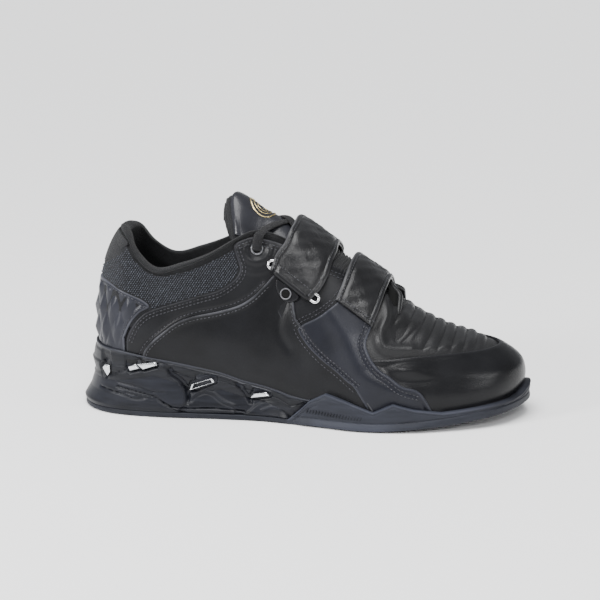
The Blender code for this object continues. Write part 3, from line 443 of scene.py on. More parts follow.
def field(x, z, outline):
    """Signed distance to a closed side-view outline, below zero inside."""
    loop = np.vstack([outline, outline[:1]])
    inside = np.zeros(np.shape(x), bool)
    for (ax, az), (bx, bz) in zip(loop[:-1], loop[1:]):
        if az == bz:
            continue
        cross = ((az > z) != (bz > z)) & (x < (bx - ax) * (z - az) / (bz - az) + ax)
        inside ^= cross
    return np.where(inside, -1.0, 1.0) * near(x, z, loop)


def trench(x, z, line, half, depth):
    """Soft groove along a line; a depth below zero makes a ridge."""
    return -depth * np.exp(-(near(x, z, line) / half) ** 2)


def blob(x, z, at, size, height):
    return height * np.exp(-(((x - at[0]) / size[0]) ** 2 + ((z - at[1]) / size[1]) ** 2))


# Making meshes

def new_object(name, points, faces, material, sharp=None):
    mesh = bpy.data.meshes.new(name)
    mesh.from_pydata([tuple(p) for p in np.asarray(points).tolist()], [], faces)
    mesh.materials.append(material)
    thing = bpy.data.objects.new(name, mesh)
    bpy.context.scene.collection.objects.link(thing)
    mesh.shade_smooth()
    if sharp:
        mesh.set_sharp_from_angle(angle=math.radians(sharp))
    return thing


def merged(thing):
    """Doubles merged and faces turned outward."""
    work = bmesh.new()
    work.from_mesh(thing.data)
    bmesh.ops.remove_doubles(work, verts=work.verts, dist=2e-6)
    bmesh.ops.dissolve_degenerate(work, edges=work.edges, dist=1e-6)
    bmesh.ops.recalc_face_normals(work, faces=work.faces)
    work.to_mesh(thing.data)
    work.free()
    return thing


def ring_quads(levels, count, closed=True, wrap=False):
    """Quads between rings of points; wrap joins the last ring to the first."""
    faces = []
    around = count if closed else count - 1
    for r in range(levels if wrap else levels - 1):
        low = r * count
        high = ((r + 1) % levels) * count
        for c in range(around):
            d = (c + 1) % count
            faces.append((low + c, low + d, high + d, high + c))
    return faces


def strip_ends(levels, count):
    """End faces of a strip whose rings are open but wrap from the last to the first."""
    return [tuple(r * count for r in range(levels)),
            tuple(r * count + count - 1 for r in reversed(range(levels)))]


def tube_ends(levels, count):
    """End faces of a tube of closed rings."""
    return [tuple(reversed(range(count))), tuple(range((levels - 1) * count, levels * count))]


def places_of(thing):
    return np.array([v.co for v in thing.data.vertices])


def mark(thing, name, values):
    """Store a number for each point."""
    layer = thing.data.attributes.new(name, "FLOAT", "POINT")
    layer.data.foreach_set("value", np.asarray(values, np.float32))


def done(piece, *nodes, slot=None):
    """Tie a piece to the body and hide the solids that it stands for; the slot is not used."""
    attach(piece, "root")
    if nodes:
        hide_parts(*nodes)
    return piece


def clip_cells(value):
    """Cells of a closed grid where value is below zero, cut along its zero line.

    Returns corner pairs and mixes for the points, and the faces."""
    rows, count = value.shape
    flat = value.ravel()
    index = np.arange(rows * count).reshape(rows, count)
    a, b = index[:-1], np.roll(index, -1, axis=1)[:-1]
    d, c = index[1:], np.roll(index, -1, axis=1)[1:]
    cells = np.stack([a, b, c, d], axis=-1).reshape(-1, 4)
    low = (flat[cells] < 0.0).sum(axis=1)
    pairs = []
    mixes = []
    number = {}

    def point(i, j, t):
        key = (i, j) if t > 0.0 else (i, i)
        if key not in number:
            number[key] = len(pairs)
            pairs.append(key)
            mixes.append(t)
        return number[key]

    faces = []
    for cell in cells[low == 4].tolist():
        faces.append(tuple(point(i, i, 0.0) for i in cell))
    for cell in cells[(low > 0) & (low < 4)].tolist():
        loop = []
        for i, j in zip(cell, cell[1:] + cell[:1]):
            if flat[i] < 0.0:
                loop.append(point(i, i, 0.0))
            if (flat[i] < 0.0) != (flat[j] < 0.0):
                m, n = min(i, j), max(i, j)
                loop.append(point(m, n, float(flat[m] / (flat[m] - flat[n]))))
        if len(loop) > 2:
            faces.append(tuple(loop))
    return np.array(pairs), np.array(mixes), faces


def border_loops(faces):
    """Ordered loops of border points, faces lying on their left."""
    inner = {}
    for face in faces:
        for i, j in zip(face, face[1:] + face[:1]):
            inner[(i, j)] = True
    follow = {i: j for i, j in inner if (j, i) not in inner}
    loops = []
    while follow:
        start, here = follow.popitem()
        loop = [start]
        while here != start and here in follow:
            loop.append(here)
            here = follow.pop(here)
        if len(loop) > 8:
            loops.append(loop)
    return loops


GRID, NORMALS, _, _ = upper_grid(AROUND, UP)


def panel(name, outline, height, material, side=0, band=0.0009, sink=0.0006, relief=None):
    """Leather piece laid on the upper, cut to a side-view outline, with a rolled edge."""
    x, y, z = GRID[..., 0], GRID[..., 1], GRID[..., 2]
    value = field(x, z, outline) + band
    if side:
        value = np.maximum(value, 0.004 - side * y)
    value[-1] = np.maximum(value[-1], 1e-4)
    value[0] = np.maximum(value[0], 1e-4)
    pairs, mixes, faces = clip_cells(value)
    t = mixes[:, None]
    flat = GRID.reshape(-1, 3)
    ways = NORMALS.reshape(-1, 3)
    base = flat[pairs[:, 0]] * (1 - t) + flat[pairs[:, 1]] * t
    way = unit(ways[pairs[:, 0]] * (1 - t) + ways[pairs[:, 1]] * t)
    depth = value.ravel()
    depth = -(depth[pairs[:, 0]] * (1 - mixes) + depth[pairs[:, 1]] * mixes)
    lift = np.full(len(base), height)
    lift *= 0.55 + 0.45 * smooth(0.0, 0.009, base[:, 2] - sole_top(base[:, 0] / SHOE_LENGTH + 0.5))
    if relief:
        lift = lift + relief(base[:, 0], base[:, 1], base[:, 2], depth)
    top = base + way * lift[:, None]
    points = [top, base - way * sink]
    count = len(base)
    solid_faces = list(faces) + [tuple(i + count for i in reversed(face)) for face in faces]
    # Rim mark along the cut edge and over the rolled edge: the lighter edge colour there is partly wear,
    # partly painted highlight.
    wear_and_highlight_marks = [1.0 - smooth(0.0, 0.0007, depth), np.zeros(count)]
    start = 2 * count
    turns = (25.0, 50.0, 72.0, 90.0)
    for loop in border_loops(faces):
        n = len(loop)
        p = top[loop]
        run = np.roll(p, -1, axis=0) - np.roll(p, 1, axis=0)
        out = unit(np.cross(run, way[loop]))
        for _ in range(6):
            out = unit(out + 0.5 * (np.roll(out, 1, axis=0) + np.roll(out, -1, axis=0)))
        rings = []
        for turn in turns:
            across = band * math.sin(math.radians(turn))
            down = band * (1.0 - math.cos(math.radians(turn)))
            rings.append(p + out * across - way[loop] * down)
        rings.append(base[loop] + out * band - way[loop] * sink)
        ids = [list(loop)]
        for ring in rings:
            points.append(ring)
            wear_and_highlight_marks.append(np.full(n, 1.0))
            ids.append(list(range(start, start + n)))
            start += n
        ids.append([i + count for i in loop])
        for low, high in zip(ids, ids[1:]):
            for k in range(n):
                m = (k + 1) % n
                solid_faces.append((low[m], low[k], high[k], high[m]))
    thing = new_object(name, np.concatenate(points), solid_faces, material)
    mark(thing, "rim", np.concatenate(wear_and_highlight_marks))
    return thing


# Finishes

def wire(tree, start, end):
    tree.links.new(start, end)


def new_group(name, inputs, outputs):
    tree = bpy.data.node_groups.new(name, "ShaderNodeTree")
    for word, value in inputs:
        socket = tree.interface.new_socket(word, in_out="INPUT", socket_type="NodeSocketFloat")
        socket.default_value = value
    for word in outputs:
        tree.interface.new_socket(word, in_out="OUTPUT", socket_type="NodeSocketFloat")
    return tree, tree.nodes.new("NodeGroupInput"), tree.nodes.new("NodeGroupOutput")


def add_node(tree, kind, inputs, **settings):
    """Node with its settings, its inputs linked or set, and its outputs returned."""
    node = tree.nodes.new(kind)
    for word, value in settings.items():
        setattr(node, word, value)
    for word, value in inputs.items():
        if hasattr(value, "is_linked"):
            wire(tree, value, node.inputs[word])
        else:
            node.inputs[word].default_value = value
    return node.outputs


def maths(tree, kind, *values):
    return add_node(tree, "ShaderNodeMath", dict(enumerate(values)), operation=kind)[0]


def noise(tree, vector, scale, detail=3.0):
    inputs = {"Vector": vector, "Scale": scale, "Detail": detail}
    return add_node(tree, "ShaderNodeTexNoise", inputs)["Fac"]


def own_place(tree):
    return tree.nodes.new("ShaderNodeTexCoord").outputs["Object"]


def leather_group():
    """Pebbled grain with fine pores, broad soft wrinkles and a cloudy sheen."""
    tree, entry, leave = new_group("leather_grain", (("Pebble", 1500.0), ("Wrinkle", 0.5)),
                                   ("Height", "Cloud"))
    place = own_place(tree)
    cells = add_node(tree, "ShaderNodeTexVoronoi", {"Vector": place, "Scale": entry.outputs["Pebble"]},
                     feature="SMOOTH_F1")
    fine = noise(tree, place, 4200.0, 2.0)
    broad = noise(tree, place, 95.0, 4.0)
    folds = maths(tree, "MULTIPLY", broad, entry.outputs["Wrinkle"])
    grain = maths(tree, "MULTIPLY_ADD", fine, 0.25, cells["Distance"])
    wire(tree, maths(tree, "ADD", grain, folds), leave.inputs["Height"])
    wire(tree, noise(tree, place, 38.0, 3.0), leave.inputs["Cloud"])
    return tree


def weave_group():
    """Crossed threads at a slant, over the whole cloth."""
    tree, entry, leave = new_group("cloth_weave", (("Pitch", 900.0),), ("Height", "Thread"))
    place = own_place(tree)
    threads = []
    for turn in (0.6, -0.9):
        slant = add_node(tree, "ShaderNodeMapping", {"Rotation": (0.5, turn, 0.4), "Vector": place})
        wave = add_node(tree, "ShaderNodeTexWave", {"Distortion": 1.2, "Detail": 1.0,
                                                    "Vector": slant["Vector"],
                                                    "Scale": entry.outputs["Pitch"]})
        threads.append(wave["Fac"])
    wire(tree, maths(tree, "MAXIMUM", *threads), leave.inputs["Height"])
    wire(tree, noise(tree, place, 800.0, 2.0), leave.inputs["Thread"])
    return tree


def mould_group():
    """Fine spark texture of a mould, with faint scuffs."""
    tree, entry, leave = new_group("mould_texture", (("Spark", 2600.0),), ("Height", "Scuff"))
    place = own_place(tree)
    wire(tree, noise(tree, place, entry.outputs["Spark"], 3.0), leave.inputs["Height"])
    streak = add_node(tree, "ShaderNodeMapping", {"Scale": (60.0, 60.0, 420.0), "Vector": place})
    wire(tree, noise(tree, streak["Vector"], 1.0, 5.0), leave.inputs["Scuff"])
    return tree


def mixed_colour(tree, factor, dark, light, low=0.0, high=1.0):
    """Colour that runs from dark to light as the factor runs from low to high."""
    ramp = tree.nodes.new("ShaderNodeValToRGB")
    for element, position, shade in zip(ramp.color_ramp.elements, (low, high), (dark, light)):
        element.position = position
        element.color = (*shade, 1.0)
    wire(tree, factor, ramp.inputs["Fac"])
    return ramp.outputs["Color"]


def bumped(tree, shader, height, distance, strength):
    """Relief of a few hundredths to tenths of a millimetre."""
    bump = add_node(tree, "ShaderNodeBump",
                    {"Distance": distance, "Strength": strength, "Height": height})
    wire(tree, bump["Normal"], shader.inputs["Normal"])


def start_material(name, roughness, **settings):
    material = bpy.data.materials.new(name)
    material.use_nodes = True
    shader = material.node_tree.nodes["Principled BSDF"]
    shader.inputs["Roughness"].default_value = roughness
    for word, value in settings.items():
        shader.inputs[word.replace("_", " ")].default_value = value
    return material, material.node_tree, shader


def place_group(tree, group, **values):
    return add_node(tree, "ShaderNodeGroup", values, node_tree=group)


def blend_wear_and_highlight(tree, shader, body, amount, wear_and_highlight):
    """Base colour that turns to the edge colour by the stored rim mark; that edge colour is partly wear,
    partly painted highlight.
    """
    wear_and_highlight_mark = add_node(tree, "ShaderNodeAttribute", {}, attribute_name="rim")["Fac"]
    factor = maths(tree, "MULTIPLY", wear_and_highlight_mark, amount)
    mix = add_node(tree, "ShaderNodeMix", {"Factor": factor, "A": body, "B": (*wear_and_highlight, 1.0)},
                   data_type="RGBA")
    wire(tree, mix["Result"], shader.inputs["Base Color"])


def uneven_roughness(tree, shader, factor, low, high):
    span = add_node(tree, "ShaderNodeMapRange", {"To Min": low, "To Max": high, "Value": factor})
    wire(tree, span["Result"], shader.inputs["Roughness"])


def leather(name, dark, light, wear_and_highlight, roughness, pebble, wrinkle, bump, group, gloss=0.17):
    """Finished leather: cloudy black, a lighter edge that is partly wear and partly painted highlight,
    grain and a thin coat.
    """
    material, tree, shader = start_material(name, roughness, Coat_Weight=0.04, Coat_Roughness=0.20,
                                            Specular_IOR_Level=gloss)
    grain = place_group(tree, group, Pebble=pebble, Wrinkle=wrinkle)
    body = mixed_colour(tree, grain["Cloud"], dark, light, 0.3, 0.7)
    patchy = maths(tree, "MULTIPLY_ADD", grain["Cloud"], 1.6, -0.35)
    blend_wear_and_highlight(tree, shader, body, patchy, wear_and_highlight)
    uneven_roughness(tree, shader, grain["Cloud"], roughness - 0.07, roughness + 0.08)
    bumped(tree, shader, grain["Height"], bump, 0.55)
    return material


def cloth(name, dark, light, pitch, bump, group, roughness=0.85):
    """Woven cloth of two close shades, with a faint sheen."""
    material, tree, shader = start_material(name, roughness, Sheen_Weight=0.08, Sheen_Roughness=0.5,
                                            Specular_IOR_Level=0.25)
    weave = place_group(tree, group, Pitch=pitch)
    wire(tree, mixed_colour(tree, weave["Thread"], dark, light, 0.35, 0.65),
         shader.inputs["Base Color"])
    bumped(tree, shader, weave["Height"], bump, 0.8)
    return material


def moulded(name, dark, light, roughness, bump, group):
    """Moulded plastic or rubber, with a painted highlight where the rim mark is set."""
    material, tree, shader = start_material(name, roughness, Specular_IOR_Level=0.20)
    mould = place_group(tree, group, Spark=2600.0)
    body = mixed_colour(tree, mould["Scuff"], dark, light, 0.3, 0.75)
    blend_wear_and_highlight(tree, shader, body, 0.7, [4.0 * shade for shade in light])
    uneven_roughness(tree, shader, mould["Scuff"], roughness - 0.05, roughness + 0.1)
    bumped(tree, shader, mould["Height"], bump, 0.5)
    return material


def metal(name, dark, light, roughness):
    """Bare metal, slightly cloudy."""
    material, tree, shader = start_material(name, roughness, Metallic=1.0)
    cloud = noise(tree, own_place(tree), 900.0, 3.0)
    wire(tree, mixed_colour(tree, cloud, dark, light, 0.3, 0.7), shader.inputs["Base Color"])
    bumped(tree, shader, cloud, 0.00003, 0.3)
    return material


GRAIN = leather_group()
WEAVE = weave_group()
MOULD = mould_group()
# The third colour of each leather is its edge colour: partly wear, partly painted highlight.
PAINT = {
    "quarter": leather("quarter_leather", (0.0030, 0.0031, 0.0038), (0.0062, 0.0064, 0.0078),
                       (0.090, 0.092, 0.104), 0.33, 1700.0, 0.35, 0.00011, GRAIN),
    "stay": leather("eyestay_leather", (0.0046, 0.0047, 0.0056), (0.0086, 0.0088, 0.0104),
                    (0.024, 0.024, 0.029), 0.36, 1600.0, 0.5, 0.00012, GRAIN),
    "guard": leather("guard_leather", (0.0042, 0.0043, 0.0050), (0.0078, 0.0080, 0.0092),
                     (0.014, 0.014, 0.016), 0.30, 1700.0, 0.35, 0.00011, GRAIN),
    "eyelet": metal("eyelet_rim", (0.10, 0.10, 0.11), (0.20, 0.20, 0.21), 0.35),
    "vamp": leather("vamp_leather", (0.0070, 0.0070, 0.0076), (0.0130, 0.0130, 0.0142),
                    (0.026, 0.026, 0.029), 0.40, 1300.0, 1.1, 0.00020, GRAIN, 0.24),
    "saddle": leather("saddle_leather", (0.0074, 0.0079, 0.0112), (0.0132, 0.0140, 0.0196),
                      (0.045, 0.047, 0.058), 0.33, 1700.0, 0.3, 0.00010, GRAIN),
    "counter": leather("counter_leather", (0.0135, 0.0142, 0.0190), (0.0240, 0.0250, 0.0325),
                       (0.070, 0.072, 0.086), 0.34, 1500.0, 0.4, 0.00010, GRAIN),
    "strap": leather("strap_leather", (0.0040, 0.0040, 0.0045), (0.0120, 0.0120, 0.0132),
                     (0.110, 0.110, 0.118), 0.30, 1400.0, 1.8, 0.00024, GRAIN, 0.30),
    "tongue": leather("tongue_leather", (0.0125, 0.0128, 0.0160), (0.0230, 0.0236, 0.0290),
                      (0.030, 0.030, 0.035), 0.26, 1600.0, 0.6, 0.00012, GRAIN, 0.34),
    "mesh": cloth("collar_mesh", (0.0030, 0.0030, 0.0040), (0.0080, 0.0085, 0.0110), 520.0, 0.0004,
                  WEAVE),
    "nub": cloth("mesh_nub", (0.026, 0.029, 0.037), (0.074, 0.081, 0.100), 2400.0, 0.00008, WEAVE, 0.7),
    "tab": cloth("heel_tab_cloth", (0.0045, 0.0047, 0.0058), (0.0090, 0.0094, 0.0114), 1500.0,
                 0.00016, WEAVE, 0.75),
    "lining": cloth("collar_lining", (0.0040, 0.0042, 0.0050), (0.0080, 0.0084, 0.0100), 1500.0,
                    0.00016, WEAVE),
    "sock": cloth("insole_cloth", (0.006, 0.006, 0.007), (0.012, 0.012, 0.014), 1200.0, 0.0002, WEAVE),
    "lace": cloth("lace_braid", (0.003, 0.003, 0.004), (0.009, 0.009, 0.011), 1600.0, 0.0003, WEAVE),
    "thread": cloth("stitch_thread", (0.012, 0.012, 0.015), (0.055, 0.056, 0.066), 3000.0, 0.00005,
                    WEAVE, 0.6),
    "block": moulded("heel_block_plastic", (0.0044, 0.0048, 0.0070), (0.0108, 0.0118, 0.0166), 0.38,
                     0.00005, MOULD),
    "cradle": moulded("cradle_plastic", (0.0058, 0.0062, 0.0080), (0.0125, 0.0132, 0.0170), 0.38,
                      0.00005, MOULD),
    "rubber": moulded("outsole_rubber", (0.0075, 0.0082, 0.0114), (0.0165, 0.0180, 0.0246), 0.50,
                      0.00006, MOULD),
    "silver": metal("insert_silver", (0.62, 0.63, 0.65), (0.80, 0.81, 0.83), 0.24),
    "chrome": metal("ring_chrome", (0.66, 0.66, 0.67), (0.82, 0.82, 0.83), 0.16),
    "gold": metal("gold_trim", (0.62, 0.50, 0.24), (0.78, 0.64, 0.34), 0.28),
    # Near-black for the openings of rivets, eyelets and the throat: painted shade.
    "dark": moulded("recess_painted_shade", (0.002, 0.002, 0.002), (0.004, 0.004, 0.004), 0.9, 0.00005, MOULD),
}


# Stitches, nubs and ribs by geometry nodes

def small_shapes(name):
    """Tree that sets one small rounded shape, turned by two stored directions, on each point."""
    tree = bpy.data.node_groups.new(name, "GeometryNodeTree")
    face = tree.interface
    face.new_socket("Points", in_out="INPUT", socket_type="NodeSocketGeometry")
    sockets = {}
    for word in ("Pitch", "Long", "Wide", "Tall", "Uneven", "Finish"):
        kind = "NodeSocketMaterial" if word == "Finish" else "NodeSocketFloat"
        sockets[word] = face.new_socket(word, in_out="INPUT", socket_type=kind).identifier
    face.new_socket("Shapes", in_out="OUTPUT", socket_type="NodeSocketGeometry")
    entry = tree.nodes.new("NodeGroupInput")
    leave = tree.nodes.new("NodeGroupOutput")
    return tree, sockets, entry, leave


def shape_on_points(tree, entry, leave, points, along):
    """Second half of such a tree: place, turn, realize and finish the shapes."""
    shape = add_node(tree, "GeometryNodeMeshIcoSphere", {"Radius": 0.5, "Subdivisions": 1})
    up = add_node(tree, "GeometryNodeInputNamedAttribute", {"Name": "up"}, data_type="FLOAT_VECTOR")
    first = add_node(tree, "FunctionNodeAlignRotationToVector", {"Vector": along}, axis="X")
    second = add_node(tree, "FunctionNodeAlignRotationToVector",
                      {"Rotation": first["Rotation"], "Vector": up["Attribute"]},
                      axis="Z", pivot_axis="X")
    size = add_node(tree, "ShaderNodeCombineXYZ", {"X": entry.outputs["Long"],
                                                   "Y": entry.outputs["Wide"],
                                                   "Z": entry.outputs["Tall"]})
    least = maths(tree, "SUBTRACT", 1.0, entry.outputs["Uneven"])
    vary = add_node(tree, "FunctionNodeRandomValue", {"Seed": 7, 2: least, 3: 1.0}, data_type="FLOAT")
    scaled = add_node(tree, "ShaderNodeVectorMath", {0: size["Vector"], "Scale": vary[1]},
                      operation="SCALE")
    onto = add_node(tree, "GeometryNodeInstanceOnPoints",
                    {"Points": points, "Instance": shape["Mesh"], "Rotation": second["Rotation"],
                     "Scale": scaled["Vector"]})
    real = add_node(tree, "GeometryNodeRealizeInstances", {"Geometry": onto["Instances"]})
    paint = add_node(tree, "GeometryNodeSetMaterial",
                     {"Geometry": real["Geometry"], "Material": entry.outputs["Finish"]})
    wire(tree, paint["Geometry"], leave.inputs["Shapes"])


def stitch_tree():
    tree, sockets, entry, leave = small_shapes("stitch_rows")
    curve = add_node(tree, "GeometryNodeMeshToCurve", {"Mesh": entry.outputs["Points"]})
    spread = add_node(tree, "GeometryNodeCurveToPoints",
                      {"Curve": curve["Curve"], "Length": entry.outputs["Pitch"]}, mode="LENGTH")
    shape_on_points(tree, entry, leave, spread["Points"], spread["Tangent"])
    return tree, sockets


def nub_tree():
    tree, sockets, entry, leave = small_shapes("nubs_and_ribs")
    way = add_node(tree, "GeometryNodeInputNamedAttribute", {"Name": "way"}, data_type="FLOAT_VECTOR")
    shape_on_points(tree, entry, leave, entry.outputs["Points"], way["Attribute"])
    return tree, sockets


STITCH = {"Pitch": 0.0026, "Long": 0.0021, "Wide": 0.00072, "Tall": 0.0007, "Uneven": 0.08}
STITCHES = stitch_tree()
NUBS = nub_tree()


def spread_shapes(name, lines, tree, sizes, finish, ways=None):
    """Small shapes along lines of (places, ups), or on single points with their ways."""
    graph, sockets = tree
    places = np.concatenate([line[0] for line in lines])
    ups = np.concatenate([line[1] for line in lines])
    edges = []
    start = 0
    for line in lines:
        n = len(line[0])
        if ways is None:
            edges += [(start + i, start + i + 1) for i in range(n - 1)]
        start += n
    mesh = bpy.data.meshes.new(name)
    mesh.from_pydata(places.tolist(), edges, [])
    layer = mesh.attributes.new("up", "FLOAT_VECTOR", "POINT")
    layer.data.foreach_set("vector", ups.astype(np.float32).ravel())
    if ways is not None:
        layer = mesh.attributes.new("way", "FLOAT_VECTOR", "POINT")
        layer.data.foreach_set("vector", np.asarray(ways, np.float32).ravel())
    thing = bpy.data.objects.new(name, mesh)
    bpy.context.scene.collection.objects.link(thing)
    modifier = thing.modifiers.new("shapes", "NODES")
    modifier.node_group = graph
    for word, value in sizes.items():
        modifier[sockets[word]] = value
    modifier[sockets["Finish"]] = finish
    bpy.context.view_layer.update()
    plain = bpy.data.meshes.new_from_object(
        thing.evaluated_get(bpy.context.evaluated_depsgraph_get()))
    thing.modifiers.clear()
    thing.data = plain
    plain.shade_smooth()
    return thing


def tree_of(things):
    """One search tree over several finished pieces."""
    points = []
    faces = []
    for thing in things:
        start = len(points)
        points += [v.co.copy() for v in thing.data.vertices]
        faces += [tuple(start + i for i in face.vertices) for face in thing.data.polygons]
    return BVHTree.FromPolygons(points, faces)


def seat(tree, x, z, side):
    """Place on the pieces met from one side at a side-view place, and its outward direction."""
    hit, way, _, _ = tree.ray_cast(Vector((x, side * RAY_ASIDE, z)), Vector((0.0, -side, 0.0)))
    if hit is not None and way.y * side < 0.0:
        way = -way
    return hit, way


def on_side(tree, line, side, rise=0.0):
    """Side-view line laid on the pieces, as places and outward directions."""
    places = []
    ups = []
    for x, z in line:
        hit, way = seat(tree, x, z, side)
        if hit is None or side * hit.y < 0.002:
            continue
        places.append(hit + way * rise)
        ups.append(way)
    return np.array(places), np.array(ups)


def beside(line, distance):
    """Line moved to its left by a distance in the side view."""
    p = np.asarray(line, float)
    run = np.gradient(p, axis=0)
    run /= np.maximum(np.linalg.norm(run, axis=1, keepdims=True), 1e-9)
    return p + np.stack([-run[:, 1], run[:, 0]], axis=-1) * distance


# Upper

def collar_lining():
    """Padded roll round the ankle, the lining inside, and the hidden backing of the panels."""
    grid, ways, share, side = upper_grid(LINING_AROUND, 42, 3)
    top = grid[-1]
    out = ways[-4]
    wall = wall_at(share, 1.0)[:, None]
    rise = unit(grid[-1] - grid[-2])
    ankle = smooth(0.46, 0.36, share)[:, None]
    roll = 0.5 * wall
    centre = top - out * roll - rise * (0.0012 * ankle)
    rings = [grid[k] - ways[k] * 0.0007 for k in range(0, 40, 3)] + [top - out * 0.0007]
    for turn in np.radians((-35, -15, 5, 25, 45, 65, 85, 105, 125, 145, 165, 180)):
        swell = roll + 0.0011 * ankle * (math.cos(turn) > 0.0) * math.cos(turn)
        tall = roll * (1.0 - 0.30 * ankle)
        rings.append(centre + out * (swell * math.cos(turn)) + rise * (tall * math.sin(turn)))
    for k in range(40, 0, -1):
        inward = wall_at(share, k / 41.0)[:, None]
        puff = 0.0012 * ankle * math.sin(math.pi * min(1.0, k / 41.0)) ** 2
        rings.append(grid[k] - ways[k] * (inward + puff))
    base = grid[0] - unit(ways[0] * (1.0, 1.0, 0.0)) * UPPER_WALL
    rings.append(base)
    count = len(share)
    faces = ring_quads(len(rings), count, wrap=True)
    thing = new_object("collar_lining", np.concatenate(rings), faces, PAINT["lining"])
    merged(thing)
    return done(thing, "upper", slot="lining")


def mesh_relief(x, y, z, depth):
    """Soft swell of the padded collar, and the heel tab's fine vertical channels."""
    swell = 0.0008 * smooth(0.070, 0.085, z) * smooth(0.0, 0.006, depth) * smooth(-0.138, -0.118, x)
    channels = 0.00028 * np.sin(2 * math.pi * (z - 0.35 * x) / 0.0021) * smooth(-0.124, -0.130, x)
    return swell + channels * smooth(0.086, 0.092, z)


def collar_mesh():
    """Mesh cloth round the ankle, from the counter to the eyestay, under the padded roll."""
    outline = np.vstack([[(-0.170, 0.060), (-0.170, 0.1235)],
                         curve_through(sized(((0.02, 0.985), (0.092, 0.960), (0.116, 0.915),
                                              (0.149, 0.812), (0.194, 0.757), (0.254, 0.783),
                                              (0.312, 0.838), (0.366, 0.910), (0.405, 0.975)))),
                         [(-0.018, 0.110), (-0.018, 0.060)]])
    return panel("collar_mesh", outline, 0.0003, PAINT["mesh"], band=0.0003, relief=mesh_relief)


def heel_tab():
    """Close-woven pull tab at the back of the collar."""
    outline = curve_through(sized(TAB_SEAM))
    outline = np.vstack([[(-0.170, 0.084)], outline,
                         sized(((0.112, 0.945), (0.090, 0.972), (0.020, 0.985))), [(-0.170, 0.123)]])
    piece = panel("heel_tab", outline, 0.0009, PAINT["tab"], band=0.0006)
    return done(piece, "upper", slot="lining")


def collar_nubs(tree):
    """Raised threads of the mesh, on a slanted lattice."""
    mesh_edge = np.vstack([curve_through(sized(COUNTER_TOP[:6])), curve_through(sized(EYESTAY_TOP[4:15])),
                           curve_through(sized(((0.360, 0.935), (0.307, 0.860), (0.252, 0.805),
                                                (0.194, 0.777), (0.160, 0.815), (0.135, 0.885)))),
                           sized(((0.128, 0.915), (0.112, 0.872), (0.085, 0.827), (0.053, 0.780),
                                  (-0.02, 0.730)))])
    places = []
    ups = []
    ways = []
    pitch_x, pitch_z = 0.00165, 0.00125
    for side in (LATERAL, MEDIAL):
        xs = np.arange(-0.146, -0.034, pitch_x)
        zs = np.arange(0.070, 0.122, pitch_z)
        spots = [(x + (0.5 * pitch_x if k % 2 else 0.0), z) for k, z in enumerate(zs) for x in xs]
        spots = np.array(spots)
        keep = field(spots[:, 0], spots[:, 1], mesh_edge) < -0.0008
        hits, way = on_side(tree, spots[keep], side, 0.00015)
        lean = np.cross(way, np.array([0.55, 0.0, 0.83]))
        places.append(hits)
        ups.append(way)
        ways.append(np.cross(lean, way))
    return spread_shapes("collar_mesh_nubs", [(np.concatenate(places), np.concatenate(ups))], NUBS,
                         {"Pitch": 0.0, "Long": 0.0017, "Wide": 0.0009, "Tall": 0.0010, "Uneven": 0.4},
                         PAINT["nub"], np.concatenate(ways))


RIB_PITCH = 0.0069
RIB_START = 0.0618
RIB_END = 0.137


def vamp_relief(x, y, z, depth):
    """Transverse ribs over the toes, the flex creases behind them and the swell by the saddle."""
    ridge = np.interp(x, (0.066, 0.082, 0.098, 0.114, 0.130, 0.143),
                      (0.076, 0.066, 0.059, 0.054, 0.050, 0.042))
    lean = np.interp(x, (0.066, 0.100, 0.135), (0.55, 0.34, 0.10))
    phase = (x + lean * np.maximum(0.0, ridge - z) - RIB_START) / RIB_PITCH
    pillow = np.abs(np.sin(math.pi * phase)) ** 0.75 - 0.60
    on = smooth(RIB_START - 0.001, RIB_START + 0.003, x) * smooth(RIB_END, RIB_END - 0.012, x)
    on = on * smooth(0.0475, 0.0525, z + 0.10 * np.maximum(0.0, x - 0.10))
    calm = 1.0 - smooth(0.086, 0.074, x) * smooth(0.072, 0.063, z)
    height = 0.0017 * pillow * on * calm
    roll = curve_through(((0.056, 0.080), (0.0585, 0.0713), (0.0560, 0.0625), (0.0580, 0.0547),
                          (0.0650, 0.0523), (0.0752, 0.0518)))
    height += trench(x, z, roll, 0.0030, -0.0026)
    height += blob(x, z, (0.0680, 0.0620), (0.0055, 0.0060), -0.0012)
    for low, high in (((0.066, 0.058), (0.074, 0.066)), ((0.070, 0.056), (0.079, 0.064))):
        height += trench(x, z, curve_through((low, high)), 0.0009, 0.0006)
    height += 0.0009 * np.exp(-((z - 0.0512) / 0.0018) ** 2) * smooth(0.070, 0.080, x)
    return height


def vamp():
    """Soft leather over the toes, from the throat to the guard."""
    outline = np.vstack([[(-0.006, 0.130), (0.062, 0.100), (0.170, 0.085), (0.170, 0.0435)],
                         sized(tuple(reversed(GUARD_TOP)))[1:], [(0.045, 0.030), (-0.006, 0.050)]])
    outline[-len(GUARD_TOP) - 1:-2, 1] -= 0.002
    piece = panel("vamp", outline, 0.0004, PAINT["vamp"], band=0.0004, relief=vamp_relief)
    return done(piece, "upper", slot="leather")


def eyestay_relief(x, y, z, depth):
    """Padded rings round the top eyelet and soft pleats below it."""
    ex, ez = sized((EYELET_SPOT,))[0]
    r = np.hypot(x - ex, z - ez)
    cup = -0.0007 * np.exp(-(r / 0.0052) ** 2)
    ring = 0.0013 * np.exp(-((r - 0.0088) / 0.0026) ** 2) + 0.0006 * np.exp(-((r - 0.0150) / 0.0026) ** 2)
    strip = curve_through(sized(QUARTER_EDGE[2:]))
    seam = trench(x, z, beside(strip, -0.0022), 0.0009, 0.0005)
    return cup + ring * smooth(ez + 0.004, ez - 0.001, z) + seam


